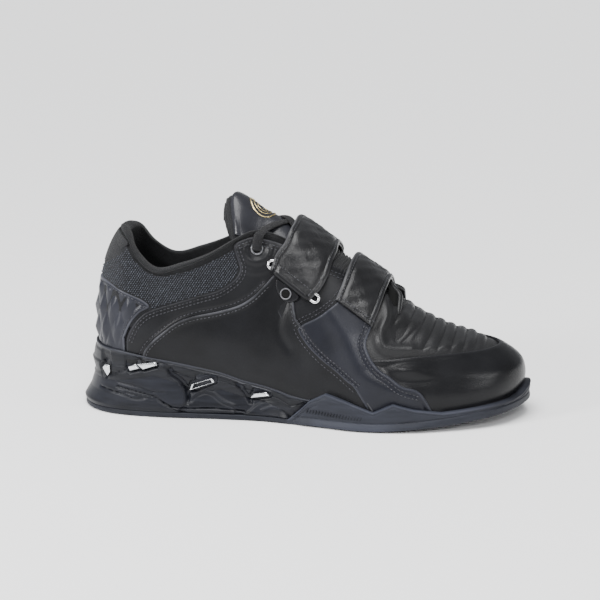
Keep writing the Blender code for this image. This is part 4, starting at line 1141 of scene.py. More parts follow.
def quarter_relief(x, y, z, depth):
    """Broad soft dents from wear in the leather, and a raised rolled edge."""
    height = 0.0006 * np.exp(-(depth / 0.0022) ** 2)
    for at, size, rise in (((-0.050, 0.050), (0.030, 0.018), 0.0012),
                           ((-0.012, 0.070), (0.010, 0.014), -0.0004),
                           ((0.004, 0.046), (0.007, 0.012), -0.0009),
                           ((-0.084, 0.044), (0.012, 0.010), -0.0005),
                           ((-0.020, 0.038), (0.014, 0.008), 0.0007)):
        height += blob(x, z, at, size, rise)
    crease = curve_through(((-0.004, 0.083), (-0.010, 0.072), (-0.010, 0.060), (-0.004, 0.050)))
    height += trench(x, z, crease, 0.0030, 0.0006)
    return height


def saddle_relief(x, y, z, depth):
    """Moulded ridge down the middle, thin raised piping along both seams."""
    ridge = curve_through(((0.016, 0.084), (0.026, 0.070), (0.034, 0.057), (0.042, 0.043),
                           (0.0475, 0.035), (0.071, 0.0225)))
    height = trench(x, z, ridge, 0.0062, -0.0015)
    height += blob(x, z, (0.040, 0.062), (0.008, 0.010), 0.0006)
    back = curve_through(sized(SADDLE_BACK[:-1]))
    front = curve_through(sized(SADDLE_FRONT[2:-1]))
    height += trench(x, z, beside(back, 0.0030), 0.0007, 0.0006)
    height += trench(x, z, beside(front, -0.0034), 0.0007, 0.0006)
    return height


def counter_relief(x, y, z, depth):
    """Embossed facets: tall leaning lozenges that rise to a ridge."""
    run = x + 0.42 * np.abs(y)
    lean = run - 0.16 * z
    p = (lean + 0.50 * z) / 0.0132
    q = (lean - 0.40 * z) / 0.0120
    first = 1.0 - 2.0 * np.abs((p % 1.0) - 0.5)
    second = 1.0 - 2.0 * np.abs((q % 1.0) - 0.5)
    facets = 0.0023 * (np.maximum(first * second, 0.0) ** 0.7 - 0.40)
    return facets * smooth(0.0012, 0.0040, depth) * smooth(0.044, 0.050, z)


def guard_relief(x, y, z, depth):
    """Welt along the top and slow waves of the leather over the toe."""
    height = 0.0007 * np.exp(-(depth / 0.0020) ** 2)
    for at, size, rise in (((0.0737, 0.0400), (0.0110, 0.0036), 0.0013),
                           ((0.085, 0.0330), (0.0100, 0.0025), -0.0006),
                           ((0.110, 0.030), (0.030, 0.004), -0.0005),
                           ((0.139, 0.0350), (0.0080, 0.0032), 0.0004)):
        height += blob(x, z, at, size, rise)
    height += 0.0013 * smooth(0.118, 0.140, x) * smooth(0.022, 0.036, z) * smooth(0.0495, 0.044, z)
    return height


def leather_panels():
    """Counter, toe guard, eyestays, quarters and saddles; the thread along their seams is laid separately.
    """
    counter = np.vstack([curve_through(sized(COUNTER_TOP[:-1])), under_rand(0.122, -0.02)])
    pieces = [done(panel("counter", counter, 0.0011, PAINT["counter"], relief=counter_relief),
                   "counter", slot="leather")]
    back_of_guard = curve_through(sized(SADDLE_FRONT[4:])) - (0.004, 0.0)
    guard = np.vstack([curve_through(sized(GUARD_TOP)), under_rand(1.02, 0.80), back_of_guard[::-1]])
    pieces.append(done(panel("toe_guard", guard, 0.0012, PAINT["guard"], relief=guard_relief),
                       "toe_guard", slot="leather"))
    strip = curve_through(sized(EYESTAY_TOP))
    quarter = curve_through(sized(QUARTER_EDGE))
    back = curve_through(sized(SADDLE_BACK))
    front = curve_through(sized(SADDLE_FRONT))
    inner = beside(quarter, 0.0040)
    hidden = ((0.640, 0.740), (0.640, 0.560), (0.560, 0.480), (0.490, 0.480))
    stay = np.vstack([strip, sized(hidden), inner[14:]])
    cover = np.vstack([quarter[::-1], curve_through(sized(QUARTER_FRONT)), back + (0.004, 0.0)])
    cover = np.vstack([cover[cover[:, 1] > 0.012], under_rand(0.655, 0.150)])
    saddle = np.vstack([back[::-1], curve_through(sized(SADDLE_HEAD)), front])
    saddle = np.vstack([saddle[saddle[:, 1] > 0.008], under_rand(0.800, 0.640)])
    layers = (("eyestay", stay, 0.0013, "stay", eyestay_relief),
              ("quarter", cover, 0.0020, "quarter", quarter_relief),
              ("saddle", saddle, 0.0027, "saddle", saddle_relief))
    for word, side in BOTH_SIDES:
        for part, outline, height, paint, relief in layers:
            name = part + "_" + word
            piece = panel(name, outline, height, PAINT[paint], side, relief=relief)
            pieces.append(done(piece, name, slot="leather"))
    return pieces


def seam_lines():
    """Side-view lines of stitching, each with its distance inside the edge already taken."""
    strip = curve_through(sized(EYESTAY_TOP[2:]))
    quarter = curve_through(sized(QUARTER_EDGE[2:]))
    back = curve_through(sized(SADDLE_BACK[:-1]))
    front = curve_through(sized(SADDLE_FRONT[1:-2]))
    counter = curve_through(sized(COUNTER_TOP[1:-1]))
    head = curve_through(sized(SADDLE_HEAD[:6]))
    corner = curve_through(sized(QUARTER_FRONT[2:]))
    insets = ((head, (0.0022, 0.0044)), (corner, (-0.0022,)), (strip, (-0.0022, -0.0042)),
              (quarter, (-0.0022, 0.0024)), (back, (0.0020, 0.0042, -0.0022)),
              (front, (-0.0022, -0.0046)), (counter, (-0.0022,)))
    return [beside(line, inset) for line, distances in insets for inset in distances]


def seam_stitches(tree):
    """Thread along the seams of both sides."""
    rows = []
    for line in seam_lines():
        steps = np.linspace(0.0, len(line) - 1.0, len(line) * 3)
        fine = np.stack([np.interp(steps, np.arange(len(line)), line[:, k]) for k in (0, 1)], axis=-1)
        for side in (LATERAL, MEDIAL):
            places, ups = on_side(tree, fine, side, 0.00022)
            if len(places) > 3:
                rows.append((places, ups))
    done(spread_shapes("seam_stitches", rows, STITCHES, STITCH, PAINT["thread"]), slot="lace")


# Tongue

TONGUE_ROWS = curve_through(TONGUE, 9)


def tongue_face(row, y):
    """Height of the tongue's front at a distance from its middle."""
    half = 0.5 * TONGUE_SPAN * row[2]
    return TAB_HEIGHT * (row[1] - row[3] * (y / half) ** 2)


def tongue_part(name, outer, inner, swell, grow, finish, first=0):
    """One layer of the tongue, between two shares of its thickness, with rounded edges."""
    rows = TONGUE_ROWS[first:]
    rings = []
    ring_size = 44
    last = len(rows) - 1
    closing = ((0.0, 1.0), (0.0009, 0.93), (0.0016, 0.75), (0.0020, 0.40), (0.0021, 0.02))
    turns = np.linspace(0.0, 2.0 * math.pi, ring_size, endpoint=False)
    for i, row in enumerate(rows):
        x, _, width, _, thick = row
        half = 0.5 * TONGUE_SPAN * width + grow
        depth = TONGUE_THICK * thick
        span = (inner - outer) * depth
        y = half * np.sign(np.cos(turns)) * np.abs(np.cos(turns)) ** 0.75
        z = tongue_face(row, y)
        edge_soft = np.sqrt(np.maximum(0.0, 1.0 - (np.abs(y) / half) ** 5))
        up = np.sin(turns)
        middle = 0.5 * (outer + inner) * depth
        lift = np.where(up >= 0.0, 0.5 * span + swell, 0.5 * span) * np.sign(up) * np.abs(up) ** 0.4
        lift = lift * (0.35 + 0.65 * edge_soft)
        down = middle - lift
        puff = swell * 0.8 * np.maximum(0.0, up) * np.cos(math.pi * y / half * 1.5) * (i > last - 30)
        centre_x = (x - 0.5) * SHOE_LENGTH
        ring = xyz(centre_x - 0.35 * down, y, z - down + puff)
        if i < last:
            rings.append(ring)
        else:
            heart = ring.mean(axis=0)
            ahead = unit(ring.mean(axis=0) - rings[-3].mean(axis=0))
            for out, scale in closing:
                rings.append(heart + (ring - heart) * (1.0, 0.5 + 0.5 * scale, scale) + ahead * out)
    faces = ring_quads(len(rings), ring_size) + tube_ends(len(rings), ring_size)
    return merged(new_object(name, np.concatenate(rings), faces, finish))


def bend_top(piece, lead, corner, bulge):
    """Round the tongue's upper corners, swell its padding and hollow its front below the tip."""
    p = places_of(piece)
    aside = np.abs(p[:, 1])
    near_top = smooth(-0.030, -0.049, p[:, 0])
    round_off = corner * (aside / TONGUE_TOP_HALF) ** 2.4
    puff = bulge * np.exp(-((aside - 0.006) / 0.005) ** 2)
    hollow = 0.0022 * np.exp(-((p[:, 0] + 0.026) / 0.0090) ** 2)
    blunt = 0.0016 * np.exp(-(aside / 0.0042) ** 2)
    p[:, 2] += near_top * (0.0014 - blunt + 0.0030 * (aside / TONGUE_TOP_HALF) ** 2) - hollow
    p[:, 0] += near_top * (lead + round_off - puff)
    for at, deep in ((0.0085, 0.0008), (0.0145, 0.0010)):
        pleat = deep * np.exp(-((aside - at - 0.06 * (p[:, 0] + 0.04)) / 0.0014) ** 2)
        p[:, 2] -= pleat * smooth(-0.026, -0.036, p[:, 0])
    piece.data.vertices.foreach_set("co", p.astype(np.float32).ravel())
    piece.data.update()


def tongue():
    """Leather front and padded lining of the tongue."""
    front = tongue_part("tongue_leather", 0.0, 0.55, 0.0004, 0.0, PAINT["tongue"])
    bend_top(front, 0.0015, 0.0048, 0.0)
    back = tongue_part("tongue_lining", 0.45, 1.25, 0.0002, 0.0006, PAINT["lining"])
    bend_top(back, 0.0002, 0.0054, 0.0014)
    for piece, finish in ((front, "leather"), (back, "lining")):
        done(piece, "tongue", slot=finish)
    return front


def swept(name, path, ups, radius, sides, finish, closed=False, flat=1.0):
    """Tube along a path; flat squeezes it along its up direction."""
    p = np.asarray(path, float)
    if closed:
        run = unit(np.roll(p, -1, axis=0) - np.roll(p, 1, axis=0))
    else:
        run = unit(np.gradient(p, axis=0))
    up = unit(ups - run * np.sum(ups * run, axis=1, keepdims=True))
    across = np.cross(run, up)
    radius = np.broadcast_to(np.asarray(radius, float), (len(p),))[:, None]
    points = []
    for k in range(sides):
        a = 2.0 * math.pi * k / sides
        points.append(p + across * (radius * math.cos(a)) + up * (radius * flat * math.sin(a)))
    points = np.stack(points, axis=1).reshape(-1, 3)
    faces = ring_quads(len(p), sides, wrap=closed)
    if not closed:
        faces += tube_ends(len(p), sides)
    return merged(new_object(name, points, faces, finish))


def laid_ring(name, centre, normal, radius, wire_radius, finish, sides=12, around=56, squash=1.0):
    """Round wire ring lying on a surface."""
    n = np.array(normal, float)
    n /= np.linalg.norm(n)
    first = np.cross(n, (0.0, 1.0, 0.0))
    first /= np.linalg.norm(first)
    second = np.cross(n, first)
    turns = np.linspace(0.0, 2.0 * math.pi, around, endpoint=False)[:, None]
    path = np.array(centre) + radius * (first * np.cos(turns) + second * np.sin(turns))
    return swept(name, path, np.broadcast_to(n, path.shape), wire_radius, sides, finish, True, squash)


def tongue_badge(tree):
    """Three plain gold rings, one inside the other, on the front of the tongue."""
    middle_x = -0.0275
    for name, size, wire_radius in (("tongue_ring", 0.0090, 0.00050),
                                    ("tongue_ring_inner", 0.0064, 0.0003),
                                    ("tongue_ring_heart", 0.0040, 0.00025)):
        path = []
        ups = []
        for turn in np.linspace(0.0, 2.0 * math.pi, 72, endpoint=False):
            x = middle_x + size * 0.92 * math.cos(turn)
            y = size * math.sin(turn)
            hit, way, _, _ = tree.ray_cast(Vector((x, y, RAY_ABOVE)), DOWN)
            path.append(hit + way * 0.0001)
            ups.append(way)
        done(swept(name, path, np.array(ups), wire_radius, 8, PAINT["gold"], True), slot="ring_metal")


# Straps, rings and fittings

def coarse_tree(lift):
    """Surface of the upper at a distance, to seat the straps on."""
    grid, ways, _, _ = upper_grid(200, 50, 1)
    points = (grid + ways * lift).reshape(-1, 3)
    return BVHTree.FromPolygons([Vector(p) for p in points], ring_quads(len(grid), 200))


def strap_edges(rows, reaches, width, tree):
    """Left and right edges of a strap, seated on the upper where a row hugs it."""
    half = np.array((1.0, 0.0, STRAP_SLOPE)) / math.hypot(1.0, STRAP_SLOPE) * (width / 2)
    edges = []
    for number, way in ((0, -1.0), (1, 1.0)):
        line = []
        for (x, y, z, hug), reach in zip(rows, reaches):
            point = np.array(((x - 0.5) * SHOE_LENGTH, y * BALL_WIDTH, z * TAB_HEIGHT))
            point += half * (way * reach[number])
            if hug:
                hit, _ = seat(tree, point[0], point[2], 1 if y > 0 else -1)
                point = np.array(hit)
            line.append(point)
        edges.append(curve_through(line, 9))
    return edges


def strap_profile(width, thick, groove):
    """Half outline across a strap: place from the left edge and height, from under to over."""
    notch = 0.45 * thick
    left = [(0.0010, 0.0), (0.0001, 0.0003), (-0.0002, 0.0008), (0.0000, notch - 0.0001),
            (0.0006, notch + 0.0001), (0.0000, notch + 0.0004), (-0.0003, notch + 0.0009),
            (0.0001, thick - 0.0004), (0.0008, thick)]
    top = [(0.0018, thick + 0.0001), (groove - 0.0007, thick + 0.0001), (groove, thick - 0.00035),
           (groove + 0.0007, thick + 0.0002)]
    crown = [(width * f, thick + 0.0004) for f in (0.22, 0.3, 0.38, 0.46)]
    half = left + top + crown
    whole = half + [(0.5 * width, thick + 0.0004)]
    whole += [(width - s, h) for s, h in reversed(half)]
    return np.array(whole)


def strap(name, rows, reaches, width, tree, fold_end, short_layer, node):
    """Two leather layers, folded round the ring at one end; the upper one ends part way."""
    left, right = strap_edges(rows, reaches, width, tree)
    count = len(left)
    profile = strap_profile(width, STRAP_THICK, 0.0034)
    across = unit(right - left)
    span = np.linalg.norm(right - left, axis=1) / width
    ahead = unit(np.gradient(left, axis=0) + np.gradient(right, axis=0))
    up = unit(np.cross(across, ahead))
    rings = []
    in_short = [short_layer[0] <= i / (count - 1.0) <= short_layer[1] for i in range(count)]

    def ring(i, shift, squeeze, thin):
        """Cross outline at a step of the strap, with small waves on its face."""
        share = profile[:, :1]
        high = profile[:, 1:2]
        middle = 0.5 * STRAP_THICK
        high = np.where(high > 0.45 * STRAP_THICK, np.maximum(high - thin, 0.45 * STRAP_THICK), high)
        high = middle + (high - middle) * squeeze
        f = share / width
        inside = np.clip(5.0 * f * (1.0 - f), 0.0, 1.0) * (high > middle)
        wave = 0.00022 * np.sin(f * 7.0 + i * 0.33) + 0.00020 * np.sin(f * 17.0 - i * 0.71 + 1.0)
        wave = wave + 0.00016 * np.sin(f * 29.0 + i * 1.37)
        return left[i] + across[i] * (share * span[i]) + up[i] * (high + wave * inside) + ahead[i] * shift

    near_round, far_round = (FOLD_ROUND if fold_end == end else END_ROUND for end in (0, 1))
    for turn in 0.5 * math.pi * np.linspace(1.0, 0.0, 7)[:-1]:
        rings.append(ring(0, -near_round * math.sin(turn), max(0.03, math.cos(turn)), 0.0))
    for i in range(count):
        rings.append(ring(i, 0.0, 1.0, TOP_LAYER if in_short[i] else 0.0))
    for turn in 0.5 * math.pi * np.linspace(0.0, 1.0, 7)[1:]:
        rings.append(ring(count - 1, far_round * math.sin(turn), max(0.03, math.cos(turn)), 0.0))
    size = len(profile)
    faces = ring_quads(len(rings), size) + tube_ends(len(rings), size)
    piece = merged(new_object(name, np.concatenate(rings), faces, PAINT["strap"], 60))
    # Rim mark: painted highlight along the strap's left edge, a fainter one along its right edge.
    left_edge_highlight = 1.0 - smooth(0.0001, 0.0009, np.abs(profile[:, 0]))
    right_edge_faint_highlight = 0.3 * (1.0 - smooth(0.0001, 0.0006, np.abs(width - profile[:, 0])))
    value = np.tile(np.maximum(left_edge_highlight, right_edge_faint_highlight), len(rings))
    known = {tuple(np.round(p, 6)): v for p, v in zip(np.concatenate(rings), value)}
    mark(piece, "rim", [known.get(tuple(np.round(v.co, 6)), 0.0) for v in piece.data.vertices])
    done(piece, node, slot="leather")
    rows_of_stitches = []
    sewn = [i for i in range(count) if not in_short[i]]
    for inset in (STITCH_INSET, width - STITCH_INSET):
        line = [left[i] + across[i] * (inset * span[i]) + up[i] * (STRAP_THICK + 0.0001) for i in sewn]
        rows_of_stitches.append((np.array(line), up[sewn]))
    return left, right, across, ahead, up, rows_of_stitches


def cross_row(edges, i, width):
    """A row of stitching across a strap."""
    left, _, across, _, up = edges[:5]
    shares = np.linspace(STITCH_INSET, width - STITCH_INSET, 16)[:, None]
    line = left[i] + across[i] * shares + up[i] * (STRAP_THICK + 0.0005)
    return line, np.broadcast_to(up[i], line.shape).copy()


def wire_ring(name, end, width, side, tree, node):
    """Rounded oblong ring at the strap's end, and its place for the tab."""
    left, right, across, ahead, up, at, sign = end
    middle = 0.5 * (left[at] + right[at])
    along = across[at]
    down = ahead[at] * sign
    down = unit(down - along * np.dot(down, along))
    spot = middle + down * RING_DEPTH
    hit, _ = seat(tree, spot[0], spot[2], side)
    down = unit(np.array(hit) - middle)
    down = unit(down - along * np.dot(down, along))
    centre = middle + up[at] * (0.5 * STRAP_THICK) + down * RING_BELOW + along * RING_ASIDE
    length = width + 2 * RING_OVERHANG
    corner = RING_DEPTH * 0.45
    path = []
    for sx, sy, start in ((1, 1, 0.0), (-1, 1, 90.0), (-1, -1, 180.0), (1, -1, 270.0)):
        hub = along * (sx * (length / 2 - corner)) + down * (sy * (RING_DEPTH / 2 - corner))
        for step in range(7):
            a = math.radians(start + 15.0 * step)
            path.append(centre + hub + along * (corner * math.cos(a)) + down * (corner * math.sin(a)))
    path = np.array(path)
    normal = np.cross(along, down)
    wires = swept(name, path, np.broadcast_to(normal, path.shape), 0.85 * RING_WIRE, 14,
                  PAINT["chrome"], True)
    done(wires, node, slot="ring_metal")
    return centre, along, down


def ring_tab(name, shape, ring, side, node, rivet_node):
    """Leather loop that holds the ring, sewn flat to the quarter, with a hollow rivet."""
    outline = curve_through(list(sized(shape)) + [sized(shape)[0]], 3)[:-1]
    body = panel(name, outline, 0.0034, PAINT["guard"], side, band=0.0007, sink=0.0)
    centre, along, down = ring
    bar = centre + down * (RING_DEPTH / 2)
    reach = 0.45 * UPPER_STRAP_WIDTH
    path = np.array([bar + along * t for t in np.linspace(-reach, reach, 9)])
    loop = swept(name + "_loop", path, np.broadcast_to(np.cross(along, down), path.shape), 0.0022, 14,
                 PAINT["guard"])
    for piece in (body, loop):
        done(piece, node, slot="leather")
    x = sum(c[0] for c in shape) / len(shape)
    z = sum(c[1] for c in shape) / len(shape)
    spot = sized(((x, z),))[0]
    hit, way = seat(tree_of([body]), spot[0], spot[1], side)
    rivet = laid_ring(name + "_rivet", hit + way * 0.0004, way, 0.0034, 0.0005, PAINT["eyelet"])
    done(rivet, rivet_node, slot="ring_metal")
    # Dark disc inside the rivet: painted shade of its hollow.
    shade_disc = laid_ring(name + "_rivet_shade_disc", hit + way * 0.0002, way, 0.0015, 0.0016, PAINT["dark"],
                     8, 28, 0.25)
    done(shade_disc, rivet_node, slot="leather")


def eyelets(tree):
    """Round rolled eyelets at the top of each side, with dark discs of painted shade in their holes."""
    ex, ez = sized((EYELET_SPOT,))[0]
    spots = []
    for word, side in BOTH_SIDES:
        hit, way = seat(tree, ex, ez, side)
        ring = laid_ring("eyelet_" + word, hit + way * 0.0005, way, EYELET_RADIUS - 0.0009, 0.0008,
                         PAINT["eyelet"], squash=0.8)
        # Dark disc in the eyelet: painted shade of its opening.
        hole_shade_disc = laid_ring("eyelet_shade_disc_" + word, hit + way * 0.0004, way, 0.0014, 0.0015, PAINT["dark"],
                         8, 28, 0.25)
        done(ring, "eyelet_" + word, slot="leather")
        done(hole_shade_disc, "eyelet_" + word, slot="leather")
        spots.append((np.array(hit), np.array(way)))
    return spots


LACE_WIDE = 0.0032
LACE_ROWS = (4, 9, 27, 32)


def laces(spots, tongue_tree):
    """Flat braided lace: from both top eyelets over the tongue, then crossing down under the straps."""
    def over(x, y, lift):
        hit, way, _, _ = tongue_tree.ray_cast(Vector((x, y, RAY_ABOVE)), DOWN)
        if hit is None:
            return None
        return np.array(hit) + np.array((0.0, 0.0, 1.0)) * lift

    runs = []
    for spot, way in spots:
        side = math.copysign(1.0, spot[1])
        run = [spot - way * 0.002, spot + way * 0.0016]
        rise = 0.0 if side < 0 else 0.0022
        for x, y, z in ((-0.0262, 0.0258, 0.1210), (-0.0240, 0.0205, 0.1240), (-0.0200, 0.0145, 0.1260),
                        (-0.0150, 0.0070, 0.1272), (-0.0090, -0.0010, 0.1266), (0.0000, -0.0100, 0.1185)):
            run.append(np.array((x, side * y, z + rise * smooth(0.016, 0.002, abs(y)))))
        runs.append(run)
    crossing = []
    for i, row in enumerate(LACE_ROWS):
        x = (TONGUE_ROWS[row][0] - 0.5) * SHOE_LENGTH
        side = 1.0 if i % 2 else -1.0
        for y in (-0.0150, -0.0075, 0.0, 0.0075, 0.0150):
            place = over(x + 0.004 * y / 0.015 * side, side * y, 0.0016)
            if place is not None:
                crossing.append(place)
    runs.append(crossing)
    for number, run in enumerate(runs):
        path = curve_through(run, 7)
        ups = np.broadcast_to(np.array((0.25, 0.0, 1.0)), path.shape).copy()
        if number < 2:
            ups[:14] = spots[number][1] * 0.7 + ups[:14] * 0.3
        done(swept("lace_%d" % number, path, ups, LACE_WIDE, 14, PAINT["lace"], flat=0.42), "lace",
             slot="lace")


def ribbed_band():
    """Elastic with fine cross ribs over the tongue, seen between the straps."""
    xs = np.linspace(0.012, 0.044, 193)
    ys = np.linspace(-0.0232, 0.0232, 40)
    rows = []
    for x in xs:
        lean = x + 0.003 * (ys / BAND_HALF) ** 2
        rib = 0.00060 * np.sin(2 * math.pi * lean / 0.0019)
        crest = 0.1066 - 0.613 * (x - 0.0229)
        aside = ys / BAND_HALF
        rows.append(xyz(x, ys, crest - 0.0036 * aside ** 2 - 0.0012 * aside ** 8 + rib))
    under = [row - (0.0, 0.0, 0.0016) for row in reversed(rows)]
    rings = rows + under
    faces = ring_quads(len(rings), len(ys), closed=False, wrap=True) + strip_ends(len(rings), len(ys))
    done(merged(new_object("ribbed_band", np.concatenate(rings), faces, PAINT["lining"])), slot="lining")


def throat_arch():
    """Padded rim of the throat, standing up in front of the lower strap over a dark sheet of painted shade.
    """
    path = []
    for turn in np.linspace(-1.0, 1.0, 41):
        y = THROAT_HALF * math.sin(0.5 * math.pi * turn)
        x = 0.0594 + 0.0064 * float(smooth(0.0, 0.0115, abs(y))) - 0.0010 * abs(turn) ** 6
        path.append((x, y, 0.0858 - 0.0146 * (abs(y) / THROAT_HALF) ** 1.35))
    path = np.array(path)
    ups = np.broadcast_to(np.array((0.4, 0.0, 1.0)), path.shape).copy()
    swell = 0.0016 + 0.0004 * np.cos(path[:, 1] / THROAT_HALF * math.pi * 0.5)
    done(swept("throat_arch", path, ups, swell, 14, PAINT["vamp"]), "upper", slot="leather")
    # Dark sheet behind the rim: painted shade of the throat's hollow.
    back = path + (-0.0075, 0.0, 0.0054)
    rings = [path + (-0.0004, 0.0, 0.0006), back, back - (0.0, 0.0, 0.0012),
             path - (0.0004, 0.0, 0.0016)]
    faces = ring_quads(4, len(path), closed=False, wrap=True) + strip_ends(4, len(path))
    done(merged(new_object("throat_shade_sheet", np.concatenate(rings), faces, PAINT["dark"])), slot="lining")


def straps_and_fittings(panels, front):
    """Both straps with their rings and tabs, the eyelets, the laces and the trim of the throat."""
    seat_tree = coarse_tree(STRAP_SEAT)
    upper_edges = strap("upper_strap", UPPER_STRAP, UPPER_REACH, UPPER_STRAP_WIDTH, seat_tree, 0,
                        (0.66, 1.0), "upper_strap")
    lower_edges = strap("lower_strap", LOWER_STRAP, LOWER_REACH, LOWER_STRAP_WIDTH, seat_tree, 1,
                        (2.0, 3.0), "lower_strap")
    rows = upper_edges[5] + lower_edges[5]
    rows.append(cross_row(upper_edges, 4, UPPER_STRAP_WIDTH))
    rows.append(cross_row(lower_edges, 2, LOWER_STRAP_WIDTH))
    rows.append(cross_row(lower_edges, len(lower_edges[0]) - 5, LOWER_STRAP_WIDTH))
    done(spread_shapes("strap_stitches", rows, STITCHES, {**STITCH, "Wide": 0.0007}, PAINT["thread"]),
         slot="lace")
    ring = wire_ring("upper_ring", (*upper_edges[:5], 0, -1.0), UPPER_STRAP_WIDTH, LATERAL, seat_tree,
                     "upper_ring")
    ring_tab("upper_ring_tab", UPPER_TAB, ring, LATERAL, "upper_ring_tab", "upper_rivet")
    last = len(lower_edges[0]) - 1
    ring = wire_ring("lower_ring", (*lower_edges[:5], last, 1.0), LOWER_STRAP_WIDTH, MEDIAL, seat_tree,
                     "lower_ring")
    ring_tab("lower_ring_tab", LOWER_TAB, ring, MEDIAL, "lower_ring_tab", "lower_rivet")
    spots = eyelets(tree_of(panels))
    laces(spots, tree_of([front]))
    ribbed_band()
    throat_arch()


# Sole

WAVE_A = curve_through(((-0.121, 0.0189), (-0.111, 0.0172), (-0.099, 0.0150), (-0.093, 0.0131),
                        (-0.088, 0.0096), (-0.082, 0.0072), (-0.071, 0.0066), (-0.057, 0.0072),
                        (-0.044, 0.0068), (-0.034, 0.0060)))
WAVE_B = curve_through(((-0.134, 0.0165), (-0.130, 0.0160), (-0.118, 0.0143), (-0.110, 0.0119),
                        (-0.102, 0.0123)))
LOBE_ONE = curve_through(((-0.126, 0.0262), (-0.124, 0.0270), (-0.113, 0.0311), (-0.103, 0.0322),
                          (-0.094, 0.0362), (-0.089, 0.0364), (-0.084, 0.0303), (-0.076, 0.0244),
                          (-0.073, 0.0184), (-0.072, 0.0120)))
LOBE_TWO = curve_through(((-0.072, 0.0125), (-0.069, 0.0161), (-0.062, 0.0192), (-0.055, 0.0183),
                          (-0.048, 0.0135), (-0.040, 0.0105)))
LOBE_TWO_TOP = curve_through(((-0.073, 0.0184), (-0.066, 0.0262), (-0.056, 0.0285), (-0.046, 0.0262),
                              (-0.039, 0.0235), (-0.033, 0.0169), (-0.030, 0.0120)))
LOBE_THREE = curve_through(((-0.034, 0.0050), (-0.031, 0.0068), (-0.026, 0.0109), (-0.021, 0.0131),
                            (-0.014, 0.0134), (-0.007, 0.0111), (0.000, 0.0083)))
LOBE_THREE_IN = curve_through(((-0.022, 0.0078), (-0.015, 0.0103), (-0.008, 0.0089)))


def sole_relief(x, z):
    """Lobes, waves and pockets moulded in the side of the block and the band above it."""
    height = np.zeros(np.shape(x))
    first = field(x, z, np.vstack([LOBE_ONE, [(-0.080, 0.002), (-0.160, 0.002), (-0.160, 0.0235)]]))
    height += 0.0012 * smooth(0.0004, -0.0012, first) - 0.0008
    second = field(x, z, np.vstack([LOBE_TWO, [(-0.040, 0.002), (-0.074, 0.002)]]))
    height += 0.0009 * smooth(0.0003, -0.0010, second)
    third = field(x, z, np.vstack([LOBE_THREE, [(0.002, 0.001), (-0.036, 0.001)]]))
    height += 0.0010 * smooth(0.0003, -0.0010, third)
    for line, half, depth in ((LOBE_ONE[36:], 0.0014, 0.0026), (LOBE_TWO_TOP[24:], 0.0011, 0.0022),
                              (LOBE_TWO_TOP[:25], 0.0007, 0.0007), (LOBE_ONE[:30], 0.0006, 0.0008),
                              (WAVE_A, 0.0006, 0.0014), (WAVE_A + (0.006, -0.0034), 0.0005, 0.0009),
                              (WAVE_B, 0.0005, 0.0012), (WAVE_B + (0.014, 0.0052), 0.0005, 0.0008),
                              (LOBE_THREE_IN, 0.0006, -0.0008),
                              (beside(LOBE_TWO, -0.0026), 0.0006, 0.0007)):
        height += trench(x, z, line, half, depth)
    for corners in INSERTS.values():
        pocket = field(x, z, np.array(sized(corners)))
        height -= 0.0030 * smooth(0.0026, 0.0006, pocket)
    return height


def band_rings(share, side, levels):
    """Rings of a side face from rows of (z, heel inset, flank inset), displaced by the relief."""
    rings = []
    out = push(share, side)
    for z, heel, flank in levels:
        place = rim(share, side, heel, flank, flank, z)
        place += out * sole_relief(place[:, 0], place[:, 2])[:, None]
        rings.append(place)
    return rings


def back_columns(count, front):
    """Columns from the front of the lateral side round the heel to the front of the medial side."""
    share, side = columns(count)
    half = count // 2
    shares = share[:half + 1]
    shares = shares[shares < front]
    shares = np.append(shares, front)
    both = np.concatenate([shares[::-1], shares[1:]])
    sides = np.concatenate([np.full(len(shares), LATERAL), np.full(len(shares) - 1, MEDIAL)])
    return both, sides


def blend_rows(knots, steps):
    """Rows between knots of (z, heel inset, flank inset), each an array over the columns."""
    rows = []
    for low, high in zip(knots, knots[1:]):
        for f in np.linspace(0.0, 1.0, steps, endpoint=False):
            rows.append(tuple(a + (b - a) * f for a, b in zip(low, high)))
    rows.append(knots[-1])
    return rows


def heel_block():
    """Flared moulded block under the heel and arch."""
    share, side = back_columns(900, BLOCK_FRONT)
    ones = np.ones(len(share))
    bottom = (OUTSOLE + GAP) * ones
    top = block_top(share)
    knots = [(bottom, BLOCK_FOOT[0] * ones, BLOCK_FOOT[1] * ones),
             (bottom + FLARE_AT * (top - bottom), BLOCK_FLARE[0] * ones, BLOCK_FLARE[1] * ones),
             (bottom + WAIST_AT * (top - bottom), BLOCK_WAIST[0] * ones, BLOCK_WAIST[1] * ones),
             (top, BLOCK_EDGE[0] * ones, BLOCK_EDGE[1] * ones)]
    rings = band_rings(share, side, blend_rows(knots, 11))
    count = len(share)
    inner = [rim(share, side, 0.020, 0.018, 0.018, top), rim(share, side, 0.020, 0.018, 0.018, bottom)]
    rings += inner
    faces = ring_quads(len(rings), count, closed=False, wrap=True) + strip_ends(len(rings), count)
    piece = merged(new_object("heel_block", np.concatenate(rings), faces, PAINT["block"], 70))
    x, _, z = places_of(piece).T
    # Rim mark: painted highlight on the raised lobes and ridges of the side.
    mark(piece, "rim", 0.30 * smooth(0.0000, 0.0012, sole_relief(x, z)) * smooth(0.004, 0.012, z))
    done(piece, "heel_block", slot="sole_plastic")


